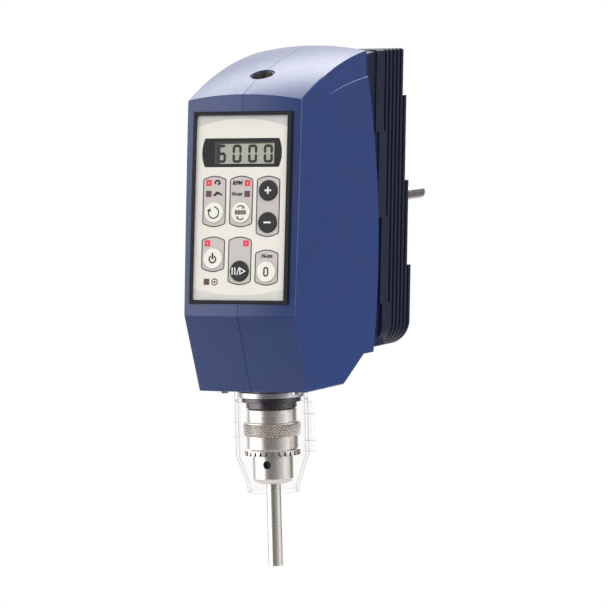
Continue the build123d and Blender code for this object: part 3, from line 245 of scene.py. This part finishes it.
def sees_background(nodes, links, glossy_share=None):
    """1 on camera, transmission and glossy rays; glossy_share thins out the glossy ones."""
    path = nodes.new("ShaderNodeLightPath")
    glossy = path.outputs["Is Glossy Ray"]
    if glossy_share:
        part = nodes.new("ShaderNodeMath")
        part.operation = "MULTIPLY"
        links.new(glossy, part.inputs[0])
        links.new(glossy_share, part.inputs[1])
        glossy = part.outputs["Value"]
    found = path.outputs["Is Camera Ray"]
    for ray in (path.outputs["Is Transmission Ray"], glossy):
        either = nodes.new("ShaderNodeMath")
        either.operation = "MAXIMUM"
        links.new(found, either.inputs[0])
        links.new(ray, either.inputs[1])
        found = either.outputs["Value"]
    return found


def studio_white(name, colour):
    """Plain colour for the light it sends back, and an even white where it is looked at."""
    made = bpy.data.materials.new(name)
    made.use_nodes = True
    nodes, links = made.node_tree.nodes, made.node_tree.links
    plain = nodes["Principled BSDF"]
    plain.inputs["Base Color"].default_value = colour
    plain.inputs["Roughness"].default_value = 1.0
    white = nodes.new("ShaderNodeEmission")
    white.inputs["Strength"].default_value = 1.0
    mix = nodes.new("ShaderNodeMixShader")
    links.new(sees_background(nodes, links), mix.inputs["Fac"])
    links.new(plain.outputs["BSDF"], mix.inputs[1])
    links.new(white.outputs["Emission"], mix.inputs[2])
    links.new(mix.outputs["Shader"], nodes["Material Output"].inputs["Surface"])
    return made


PAINT = material("housing_paint", srgb(12, 44, 102), 0.3, cell=0.8, specular=0.65)
# painted highlight: a lighter blue for the crease lips, standing in for the light they catch
CREASE_HIGHLIGHT = material("crease_painted_highlight", srgb(104, 122, 170), 0.26, cell=0.8)
SINK = material("sink_paint", srgb(22, 26, 46), 0.4, cell=0.6, relief=0.01, specular=0.15)
ROD = material("rod_steel", srgb(196, 194, 191), 0.24, metallic=1.0, cell=0.15,
               relief=0.0015, stretch=(30, 1, 30), tone=0.02)
SHAFT = material("shaft_steel", srgb(220, 216, 208), 0.26, metallic=1.0, cell=0.15,
                 relief=0.0005, uneven=0.02, stretch=(30, 30, 1), tone=0.02)
CHROME = material("chrome", srgb(224, 218, 212), 0.3, metallic=1.0, cell=0.3,
                  relief=0.002, stretch=(8, 8, 1), tone=0.03)
BRIGHT = material("bright_steel", srgb(200, 200, 202), 0.3, metallic=1.0, cell=0.3,
                  relief=0.002, tone=0.03)
CAST = material("cast_aluminium", srgb(172, 174, 176), 0.5, metallic=1.0, cell=0.5,
                relief=0.03, uneven=0.1)
BEZEL = material("bezel_black", srgb(20, 20, 27), 0.3, cell=0.4, relief=0.006, specular=0.2)
LABEL = material("label_cream", srgb(226, 222, 213), 0.5, cell=0.35, relief=0.006, tone=0.01)
LABEL_GREY = material("label_grey", srgb(200, 200, 196), 0.5, cell=0.35, tone=0.01)
LABEL_FOOT = material("label_foot_grey", srgb(208, 206, 200), 0.5, cell=0.35, tone=0.01)
POD = material("pod_grey", srgb(194, 186, 183), 0.5, cell=0.35, tone=0.01)
INK_DARK = material("ink_dark", srgb(22, 22, 25), 0.5, cell=0.35, relief=0.002)
LINE = material("pod_line", srgb(52, 50, 54), 0.5, cell=0.35, relief=0.002)
WINDOW = material("window_black", srgb(20, 20, 23), 0.14, cell=2.0, relief=0.002, uneven=0.03,
                  specular=0.2)
GLASS = material("display_glass", srgb(158, 160, 146), 0.3, cell=1.2, relief=0.002)
# painted shade: the shadow of the window's edge on the glass
GLASS_SHADE = material("display_shade", srgb(40, 41, 38), 0.4, cell=1.2, relief=0.002)
KEY_WHITE = material("key_white", srgb(230, 228, 218), 0.42, cell=0.4, relief=0.006, tone=0.01)
KEY_BLACK = material("key_black", srgb(30, 30, 35), 0.36, cell=0.4, relief=0.006, specular=0.3)
INK_WHITE = material("ink_white", srgb(226, 226, 222), 0.5, cell=0.35, relief=0.002, tone=0.01)
LAMP_RED = material("lamp_red", srgb(212, 30, 54), 0.3, glow=0.15, cell=0.5, relief=0.002)
LAMP_PALE = material("lamp_mark", srgb(246, 150, 158), 0.4, cell=0.5, relief=0.002)
LAMP_DARK = material("lamp_dark", srgb(88, 42, 50), 0.3, cell=0.5, relief=0.002)
BLACK = material("black_plastic", srgb(34, 34, 36), 0.45, cell=0.4, relief=0.01)
NOSE = material("nose_black", srgb(46, 44, 44), 0.38, cell=0.4, relief=0.006)
# the flinger's own dark steel, also used as painted shade in the knurl's grooves, the key holes
# and the rim notches
FLINGER_AND_SHADE = material("flinger_steel_and_shade", srgb(96, 92, 97), 0.24, metallic=1.0, cell=0.3,
                   relief=0.002, stretch=(8, 8, 1), tone=0.03)
BOARD = material("board_green", srgb(24, 92, 58), 0.5, cell=1.5, relief=0.01)
BELT = material("belt_rubber", srgb(26, 26, 26), 0.8, cell=0.5, relief=0.03)
MOTOR = material("motor_grey", srgb(84, 86, 90), 0.5, metallic=0.6, cell=0.6, relief=0.02)
CLEAR = clear_plastic("guard_clear")

NODE_LOOKS = {
    PAINT: ("housing_left", "housing_right"),
    SINK: ("heat_sink",),
    ROD: ("support_rod",),
    SHAFT: ("stirring_shaft", "spindle", "motor_shaft"),
    CHROME: ("chuck_body", "chuck_sleeve"),
    BRIGHT: ("housing_screws", "support_rod_nut", "frame_screws", "board_posts",
             "inlet_screws", "nose_ring", "spindle_nut", "chuck_nut",
             "chuck_jaw_1", "chuck_jaw_2", "chuck_jaw_3", "lower_bearing_outer",
             "upper_bearing_outer", "lower_bearing_inner", "upper_bearing_inner"),
    CAST: ("cast_frame", "spindle_pulley", "motor_pulley"),
    BEZEL: ("bezel",),
    LABEL: ("label_panel",),
    WINDOW: ("display_window", "display"),
    KEY_WHITE: ("key_direction", "key_mode", "key_power", "key_zero"),
    KEY_BLACK: ("key_plus", "key_minus", "key_run"),
    LAMP_RED: ("lamps_lit",),
    LAMP_DARK: ("lamps_dark",),
    BLACK: ("key_switches", "speed_sensor", "power_components", "power_inlet",
            "encoder_disc"),
    NOSE: ("top_bush",),
    FLINGER_AND_SHADE: ("flinger",),
    BOARD: ("control_board", "power_board"),
    BELT: ("drive_belt",),
    MOTOR: ("motor_case",),
    CLEAR: ("guard_collar", "guard_rear", "guard_front", "guard_hinge_pin"),
}
for look, names in NODE_LOOKS.items():
    for name in names:
        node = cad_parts[name]
        node.data.materials.clear()
        node.data.materials.append(look)

for name, width in SOFT_EDGES.items():
    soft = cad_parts[name].modifiers.new("soft_edges", "BEVEL")
    soft.width = width * MM
    soft.segments = 3
    soft.limit_method = "ANGLE"
    soft.angle_limit = SOFT_EDGE_ANGLE
    soft.use_clamp_overlap = True
    soft.harden_normals = True


# ---------------------------------------------------------------- creases of the sides, with a painted highlight on their lips
# Millimetres from the spindle axis at the housing's underside.
CREASE = ((-7.0, 193.0), (35.0, 202.6), (80.0, 208.6))   # (y, z) of its start, middle and end
CREASE_X = 42.16
CREASE_ROUND = 0.42              # radius of the crease's rounded lip at the rear
CREASE_SWELL = (0.1, 0.8, 1.0)   # the lip's share of that radius, from front to rear


def crease(name, side):
    """The rounded lip along a side's crease, in lighter paint that is a painted highlight: it
    grows from nothing towards the rear.
    """
    (y0, z0), (y1, z1), (y2, z2) = CREASE
    pull = (2 * y1 - (y0 + y2) / 2, 2 * z1 - (z0 + z2) / 2)
    curve = bpy.data.curves.new(name, "CURVE")
    curve.dimensions = "3D"
    curve.bevel_depth = CREASE_ROUND * MM
    curve.bevel_resolution = 3
    spline = curve.splines.new("NURBS")
    spline.points.add(2)
    for point, (y, z), swell in zip(spline.points, (CREASE[0], pull, CREASE[2]), CREASE_SWELL):
        point.co = (*(SPINDLE_AXIS + Vector((side * CREASE_X, y, z)) * MM), 1)
        point.radius = swell
    spline.order_u = 3
    spline.use_endpoint_u = True
    # the lip's lighter blue is a painted highlight
    curve.materials.append(CREASE_HIGHLIGHT)
    piece = bpy.data.objects.new(name, curve)
    bpy.context.collection.objects.link(piece)
    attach(piece, "stirrer")


crease("crease_left", -1)
crease("crease_right", 1)

# ---------------------------------------------------------------- control panel graphics
low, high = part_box("label_panel")
PANEL_MIDDLE = (Vector(low) + Vector(high)) / 2
PANEL_AXES = Matrix((
    (1, 0, 0),
    (0, sin(PANEL_TILT), -cos(PANEL_TILT)),
    (0, cos(PANEL_TILT), sin(PANEL_TILT)),
)).to_4x4()


def panel_place(u, v, w):
    """Matrix of a spot on the panel: u and v in millimetres along it, w above its middle."""
    spot = Matrix.Translation(Vector((u, v, w)) * MM)
    return Matrix.Translation(PANEL_MIDDLE) @ PANEL_AXES @ spot


def printed(name, loops, place, look, body, thickness=INK):
    """A flat shape with the given closed loops (u, v in millimetres), on a panel place."""
    curve = bpy.data.curves.new(name, "CURVE")
    curve.dimensions = "2D"
    curve.fill_mode = "BOTH"
    curve.extrude = thickness * MM / 2
    for loop in loops:
        spline = curve.splines.new("POLY")
        spline.points.add(len(loop) - 1)
        for point, (u, v) in zip(spline.points, loop):
            point.co = (u * MM, v * MM, 0, 1)
        spline.use_cyclic_u = True
    curve.materials.append(look)
    piece = bpy.data.objects.new(name, curve)
    bpy.context.collection.objects.link(piece)
    piece.matrix_world = place
    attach(piece, body)


def lettering(name, words, size, place, look, body, shear=0.0, bold=0.0):
    """Plain lettering centred on a panel place."""
    text = bpy.data.curves.new(name, "FONT")
    text.body = words
    text.size = size * MM
    text.align_x = "CENTER"
    text.align_y = "CENTER"
    text.shear = shear
    text.offset = bold * MM
    text.extrude = INK * MM / 2
    text.resolution_u = 3
    text.materials.append(look)
    piece = bpy.data.objects.new(name, text)
    bpy.context.collection.objects.link(piece)
    piece.matrix_world = place
    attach(piece, body)


def arc(cx, cy, radius, start, end, steps=CORNER_STEPS):
    """Points of an arc, angles in degrees."""
    span = [radians(start + (end - start) * n / steps) for n in range(steps + 1)]
    return [(cx + radius * cos(a), cy + radius * sin(a)) for a in span]


def rounded(half_width, half_height, corner):
    """A rounded rectangle about the middle."""
    w, h = half_width - corner, half_height - corner
    return (arc(w, h, corner, 0, 90) + arc(-w, h, corner, 90, 180)
            + arc(-w, -h, corner, 180, 270) + arc(w, -h, corner, 270, 360))


def pod_end(u, level, reach, side):
    """The inner points of a pod's bowed end, from one corner to the other."""
    span = [side * reach * (1 - 2 * n / BOW_STEPS) for n in range(1, BOW_STEPS)]
    return [(u + x, level + side * POD_BOW * (1 - (x / reach) ** 2)) for x in span]


def pod_outline(inset, low_v, high_v, u):
    """A pod's outline: a rounded rectangle whose two ends bow outwards."""
    r = POD_CORNER - inset
    w = POD_HALF_WIDTH - inset - r
    head, foot = high_v - inset - POD_BOW, low_v + inset + POD_BOW
    return (arc(u + w, head - r, r, 0, 90) + pod_end(u, head, w, 1)
            + arc(u - w, head - r, r, 90, 180) + arc(u - w, foot + r, r, 180, 270)
            + pod_end(u, foot, w, -1) + arc(u + w, foot + r, r, 270, 360))


def box_loop(u0, v0, u1, v1):
    """A rectangle between two corners."""
    return [(u0, v0), (u1, v0), (u1, v1), (u0, v1)]


def bowed(edge_v, arc_end_v, arc_middle_v):
    """The strip between the label's end and a shallow arc."""
    half_width = LABEL_HALF_WIDTH - LABEL_MARGIN
    inner = []
    for n in range(BAND_STEPS + 1):
        u = -half_width + 2 * half_width * n / BAND_STEPS
        inner.append((u, arc_middle_v + (arc_end_v - arc_middle_v) * (u / half_width) ** 2))
    return inner + [(half_width, edge_v), (-half_width, edge_v)]


def plus_sign():
    """A plus sign's corners, a quarter of them at a time."""
    quarter = [(-SIGN_HALF, -SIGN_REACH), (SIGN_HALF, -SIGN_REACH), (SIGN_HALF, -SIGN_HALF)]
    loop = []
    for _ in range(4):
        loop += quarter
        quarter = [(-v, u) for u, v in quarter]
    return loop


def ring_arrow(radius, stroke, start, end, head):
    """A ring segment that ends in an arrow head, head to each side, at its end angle."""
    outer = arc(0, 0, radius + stroke / 2, start, end, ARROW_STEPS)
    inner = arc(0, 0, radius - stroke / 2, end, start, ARROW_STEPS)
    a = radians(end)
    side = 1 if end > start else -1
    tip = a + side * ARROW_HEAD * head / radius
    point = (radius * cos(tip), radius * sin(tip))
    left = ((radius + head) * cos(a), (radius + head) * sin(a))
    right = ((radius - head) * cos(a), (radius - head) * sin(a))
    return outer + [left, point, right] + inner


PRINT_LEVEL = LABEL_HALF_THICKNESS + INK / 2
on_label = panel_place(0, 0, PRINT_LEVEL)
printed("label_top", [bowed(LABEL_HALF_HEIGHT - LABEL_MARGIN, *TOP_ARC)], on_label, LABEL_GREY,
        "stirrer")
printed("label_foot", [bowed(-LABEL_HALF_HEIGHT + LABEL_MARGIN, *FOOT_ARC)], on_label, LABEL_FOOT,
        "stirrer")

for number, (u, low_v, high_v) in enumerate(PODS, 1):
    outer = pod_outline(0, low_v, high_v, u)
    inner = pod_outline(POD_LINE, low_v, high_v, u)
    holes = [arc(ku, kv, KEY_HOLE, 0, 350, KEY_HOLE_STEPS) for ku, kv in KEY_SPOTS.values()
             if abs(ku - u) < POD_HALF_WIDTH and low_v < kv < high_v]
    printed(f"pod_line_{number}", [outer, inner], on_label, LINE, "stirrer", POD_LINE_INK)
    printed(f"pod_{number}", [inner] + holes, on_label, POD, "stirrer")

OVERPRINT_LEVEL = PRINT_LEVEL + INK
for name, words, size, u, v in WORDS:
    lettering(name, words, size, panel_place(u, v, OVERPRINT_LEVEL), INK_DARK, "stirrer",
              WORD_SLANT, WORD_BOLD)
printed("mark_turning", [ring_arrow(radius=1.7, stroke=1.3, start=200, end=0, head=1.5)],
        panel_place(*TURNING_SPOT, OVERPRINT_LEVEL), INK_DARK, "stirrer")
printed("mark_reversed", [[(-3.6, -1.4), (-1.1, 1.6), (0.9, 1.5), (3.6, -0.3), (3.6, -1.3),
                           (1.1, -0.3), (-0.4, -0.4), (-1.0, -1.4)]],
        panel_place(*REVERSED_SPOT, OVERPRINT_LEVEL), INK_DARK, "stirrer")
printed("mark_fault", [arc(0, 0, 2.4, 0, 350, RING_STEPS), arc(0, 0, 1.7, 0, 350, RING_STEPS),
                       arc(0, 0, 0.8, 0, 340, RING_STEPS // 2)],
        panel_place(*FAULT_SPOT, PRINT_LEVEL), INK_DARK, "stirrer")

for number, (u, v) in enumerate(LAMP_MARKS, 1):
    printed(f"lamp_mark_{number}", [[(-0.9, 0), (0.5, 0.9), (0.5, -0.9)]],
            panel_place(u, v, LAMP_FACE + INK / 2), LAMP_PALE, "stirrer")


def key_place(key):
    """The middle of a key's face."""
    u, v = KEY_SPOTS[key]
    return panel_place(u, v, KEY_TOP + INK / 2)


printed("ink_direction", [ring_arrow(radius=3.8, stroke=0.85, start=85, end=-195, head=1.6)],
        key_place("key_direction"), INK_DARK, "key_direction")
for side, start, lift in (("up", 150, 2.0), ("down", -30, -2.0)):
    turn = ring_arrow(radius=2.7, stroke=0.75, start=start, end=start - 110, head=1.1)
    printed(f"ink_mode_{side}", [[(u, v + lift) for u, v in turn]], key_place("key_mode"),
            INK_DARK, "key_mode")
lettering("ink_mode_digits", "8888", 4.2, key_place("key_mode"), INK_DARK, "key_mode", bold=0.12)
printed("ink_plus", [plus_sign()], key_place("key_plus"), INK_WHITE, "key_plus")
printed("ink_minus", [box_loop(-2.6, -SIGN_HALF, 2.6, SIGN_HALF)], key_place("key_minus"),
        INK_WHITE, "key_minus")
printed("ink_power_ring", [arc(0, -0.5, 2.9, 120, 420, RING_STEPS)
                           + arc(0, -0.5, 1.9, 420, 120, RING_STEPS)],
        key_place("key_power"), INK_DARK, "key_power")
printed("ink_power_bar", [box_loop(-0.65, -0.5, 0.65, 3.8)], key_place("key_power"), INK_DARK,
        "key_power")
printed("ink_run_bars", [box_loop(-5.4, -2.4, -4.6, 2.4), box_loop(-3.4, -2.4, -2.6, 2.4)],
        key_place("key_run"), INK_WHITE, "key_run")
printed("ink_run_slash", [[(-2.0, -2.6), (-1.2, -2.6), (0.6, 2.6), (-0.2, 2.6)]],
        key_place("key_run"), INK_WHITE, "key_run")
printed("ink_run_arrow", [[(0.4, -2.6), (5.3, 0), (0.4, 2.6)],
                          [(1.2, -1.4), (3.7, 0), (1.2, 1.4)]],
        key_place("key_run"), INK_WHITE, "key_run")
printed("ink_zero", [rounded(1.9, 3.3, 1.8), rounded(0.85, 2.3, 0.8)],
        key_place("key_zero"), INK_DARK, "key_zero")

# The display is a pale glass in the dark window, with segment digits.
SEGMENTS = {"6": "acdefg", "0": "abcdef"}


def segment(which):
    """One bar of a digit, about the digit's middle."""
    w, h, s, gap = DIGIT_WIDTH / 2, DIGIT_HEIGHT / 2, DIGIT_STROKE, DIGIT_GAP
    across = [(-w + gap, 0), (-w + s, s / 2), (w - s, s / 2), (w - gap, 0), (w - s, -s / 2),
              (-w + s, -s / 2)]
    upright = [(0, gap), (s / 2, s / 2 + gap), (s / 2, h - s), (0, h - gap * 4),
               (-s / 2, h - s), (-s / 2, s / 2 + gap)]
    shifts = {"a": (0, h - s / 2), "g": (0, 0), "d": (0, -h + s / 2)}
    if which in shifts:
        return [(u + shifts[which][0], v + shifts[which][1]) for u, v in across]
    side = 1 if which in "bc" else -1
    level = 1 if which in "bf" else -1
    return [(u + side * (w - s / 2), v * level) for u, v in upright]


PANE_LEVEL = WINDOW_FACE + INK / 2
printed("display_pane", [box_loop(*GLASS_BOX)], panel_place(0, 0, PANE_LEVEL), GLASS, "stirrer")
u0, v0, u1, v1 = GLASS_BOX
shade_u, shade_v = u0 + GLASS_SHADE_SIDE, v1 - GLASS_SHADE_TOP
# painted shade cast by the window's edge, at the glass's left and along its top
printed("display_painted_shade", [[(u0, v0), (shade_u, v0),
                          (shade_u + GLASS_SHADE_SLANT, shade_v - GLASS_SHADE_SLANT),
                          (u1, shade_v), (u1, v1), (u0, v1)]],
        panel_place(0, 0, PANE_LEVEL + GLASS_SHADE_LIFT), GLASS_SHADE, "stirrer")
for number, digit in enumerate(DIGITS):
    u = DIGIT_LEFT + DIGIT_WIDTH / 2 + number * DIGIT_PITCH
    for which in SEGMENTS[digit]:
        printed(f"digit_{number + 1}_{which}", [segment(which)],
                panel_place(u, DIGIT_MIDDLE_V, PANE_LEVEL + INK), INK_DARK, "stirrer")

# ---------------------------------------------------------------- knurl and cuts of the chuck, with painted shade in the grooves and cuts
SLEEVE_FOOT, SLEEVE_TOP = (corner[2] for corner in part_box("chuck_sleeve"))
KNURL_TOP = SLEEVE_TOP - 10.2 * MM
KNURL_FOOT = SLEEVE_TOP - 18.8 * MM
KNURL_RADIUS = 18.7 * MM
KNURL_COUNT = 50
KNURL_ROWS = 4
KNURL_RISE = 1.2 * MM
KNURL_SINK = 0.05 * MM           # how far the grooves lie inside the band's solid
KNURL_FINENESS = 8               # faces along a diamond
KNURL_GROOVE = 0.22              # height below which a groove gets painted shade
# painted shade goes into the chuck key's holes and into the notches of the sleeve's rim
KEY_HOLE_Z = UNDERSIDE - 51.5 * MM
KEY_HOLE_REACH = 3.0 * MM
KEY_HOLE_MOUTH = 13.3 * MM       # radius of the chuck's body there, less a hair
RIM_NOTCH = 3.3 * MM             # height of the notches in the sleeve's rim
NOTCH_SIDE = 0.6                 # a face that looks outwards less than this is a notch's side


def knurl_height(step, row):
    """Height of a knurl's point, from 0 in a groove to 1 on a diamond's tip."""
    a, b = step / KNURL_FINENESS, row / KNURL_FINENESS
    return min(abs((a + b) % 1 - 0.5), abs((a - b) % 1 - 0.5)) * 2


def knurl():
    """A band of small diamonds round the sleeve, with painted shade in its grooves."""
    around = KNURL_COUNT * KNURL_FINENESS
    rows = KNURL_ROWS * KNURL_FINENESS
    verts, faces, dark = [], [], []
    for row in range(rows + 1):
        z = KNURL_TOP + (KNURL_FOOT - KNURL_TOP) * row / rows
        for step in range(around):
            rise = 0 if row in (0, rows) else KNURL_RISE * knurl_height(step, row)
            radius = KNURL_RADIUS - KNURL_SINK + rise
            turn = tau * step / around
            verts.append((SPINDLE_AXIS.x + radius * cos(turn),
                          SPINDLE_AXIS.y + radius * sin(turn), z))
    for row in range(rows):
        for step in range(around):
            nxt = (step + 1) % around
            faces.append((row * around + step, (row + 1) * around + step,
                          (row + 1) * around + nxt, row * around + nxt))
            # faces low in a groove get painted shade, in the dark steel
            dark.append(knurl_height(step + 0.5, row + 0.5) < KNURL_GROOVE)
    mesh = bpy.data.meshes.new("sleeve_knurl")
    mesh.from_pydata(verts, [], faces)
    mesh.materials.append(CHROME)
    mesh.materials.append(FLINGER_AND_SHADE)
    mesh.polygons.foreach_set("material_index", dark)
    piece = bpy.data.objects.new("sleeve_knurl", mesh)
    bpy.context.collection.objects.link(piece)
    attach(piece, "chuck_sleeve")


def paint_shade(node_name, chosen):
    """Paints shade on the faces of a turned node that chosen picks: they get the flinger's dark
    steel.

    chosen takes a face's height, its radius and how squarely it looks outwards, from 0 to 1.
    """
    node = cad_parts[node_name]
    node.data.materials.append(FLINGER_AND_SHADE)
    for flat in node.data.polygons:
        spot = node.matrix_world @ flat.center - SPINDLE_AXIS
        out = Vector((spot.x, spot.y, 0))
        normal = node.matrix_world.to_3x3() @ flat.normal
        if chosen(spot.z + SPINDLE_AXIS.z, out.length, abs(normal.dot(out.normalized()))):
            flat.material_index = 1


knurl()
# painted shade in the chuck key's holes and in the notches of the sleeve's rim
paint_shade("chuck_body", lambda z, radius, outward:
       abs(z - KEY_HOLE_Z) < KEY_HOLE_REACH and radius < KEY_HOLE_MOUTH)
paint_shade("chuck_sleeve", lambda z, radius, outward:
       z < SLEEVE_FOOT + RIM_NOTCH and outward < NOTCH_SIDE)

# ---------------------------------------------------------------- studio
# Each light: azimuth from the front towards +X, elevation and reach in degrees, strength.
SOFTBOXES = (
    (-58, 12, 48, 2.2),
    (80, 40, 48, 2.8),
    (112, 4, 32, 0.8),
    (0, 86, 50, 0.55),
    (-156, 18, 37, 6.5),
)
BACKDROP = (-148, -4, 46, 1.0)   # what glossy surfaces see of the white behind the object
AMBIENT = 0.2
GLOW_CORE = 0.55                 # share of a light's reach that shines at its full strength
FLOOR_GAP = 0.15                 # leaves room for the stirring shaft at its lowest
FLOOR_HALF = 0.6
FLOOR_COLOUR = srgb(190, 190, 190)


def glow_spot(nodes, links, azimuth, elevation, reach, strength):
    """A soft round light on the dome: its strength fades to nothing at its reach."""
    a, e = radians(azimuth), radians(elevation)
    where = nodes.new("ShaderNodeTexCoord")
    facing = nodes.new("ShaderNodeVectorMath")
    facing.operation = "DOT_PRODUCT"
    facing.inputs[1].default_value = (sin(a) * cos(e), -cos(a) * cos(e), sin(e))
    links.new(where.outputs["Generated"], facing.inputs[0])
    fade = nodes.new("ShaderNodeMapRange")
    fade.interpolation_type = "SMOOTHSTEP"
    fade.inputs["From Min"].default_value = cos(radians(reach))
    fade.inputs["From Max"].default_value = cos(radians(reach * GLOW_CORE))
    fade.inputs["To Max"].default_value = strength
    links.new(facing.outputs["Value"], fade.inputs["Value"])
    return fade.outputs["Result"]


def studio_dome():
    """A dome of soft lights round the object, and plain white behind it."""
    world = bpy.data.worlds.new("studio")
    bpy.context.scene.world = world
    world.use_nodes = True
    nodes, links = world.node_tree.nodes, world.node_tree.links
    total = None
    for softbox in SOFTBOXES:
        add = nodes.new("ShaderNodeMath")
        add.operation = "ADD"
        add.inputs[1].default_value = AMBIENT
        links.new(glow_spot(nodes, links, *softbox), add.inputs[0])
        if total:
            links.new(total, add.inputs[1])
        total = add.outputs["Value"]
    light = nodes["Background"]
    light.inputs["Color"].default_value = (1, 1, 1, 1)
    links.new(total, light.inputs["Strength"])
    white = nodes.new("ShaderNodeBackground")
    white.inputs["Color"].default_value = (1, 1, 1, 1)
    white.inputs["Strength"].default_value = 1.0
    pick = nodes.new("ShaderNodeMixShader")
    backdrop = glow_spot(nodes, links, *BACKDROP)
    links.new(sees_background(nodes, links, backdrop), pick.inputs["Fac"])
    links.new(light.outputs["Background"], pick.inputs[1])
    links.new(white.outputs["Background"], pick.inputs[2])
    links.new(pick.outputs["Shader"], nodes["World Output"].inputs["Surface"])


studio_dome()
floor_z = cad_bounds[0][2] - FLOOR_GAP
bpy.ops.mesh.primitive_plane_add(size=2 * FLOOR_HALF, location=(0, 0, floor_z))
floor = bpy.context.object
floor.name = "floor"
floor.data.materials.append(studio_white("floor_white", FLOOR_COLOUR))

# ---------------------------------------------------------------- camera
forward = Vector((-sin(AZIMUTH) * cos(PITCH), cos(AZIMUTH) * cos(PITCH), -sin(PITCH)))
level_right = Vector((cos(AZIMUTH), sin(AZIMUTH), 0))
level_up = level_right.cross(forward)
right = level_right * cos(ROLL) + level_up * sin(ROLL)
up = level_up * cos(ROLL) - level_right * sin(ROLL)
optics = bpy.data.cameras.new("camera")
optics.sensor_width = SENSOR_WIDTH_MM
optics.lens = FOCAL_PX / PICTURE_SIDE_PX * SENSOR_WIDTH_MM
optics.clip_end = FAR_CLIP
camera = bpy.data.objects.new("camera", optics)
bpy.context.collection.objects.link(camera)
turn = Matrix((right, up, -forward)).transposed().to_4x4()
place = AIM - forward * DISTANCE + right * SHIFT_RIGHT + up * SHIFT_UP
camera.matrix_world = Matrix.Translation(place) @ turn
bpy.context.scene.camera = camera
bpy.context.scene.view_settings.view_transform = "Standard"
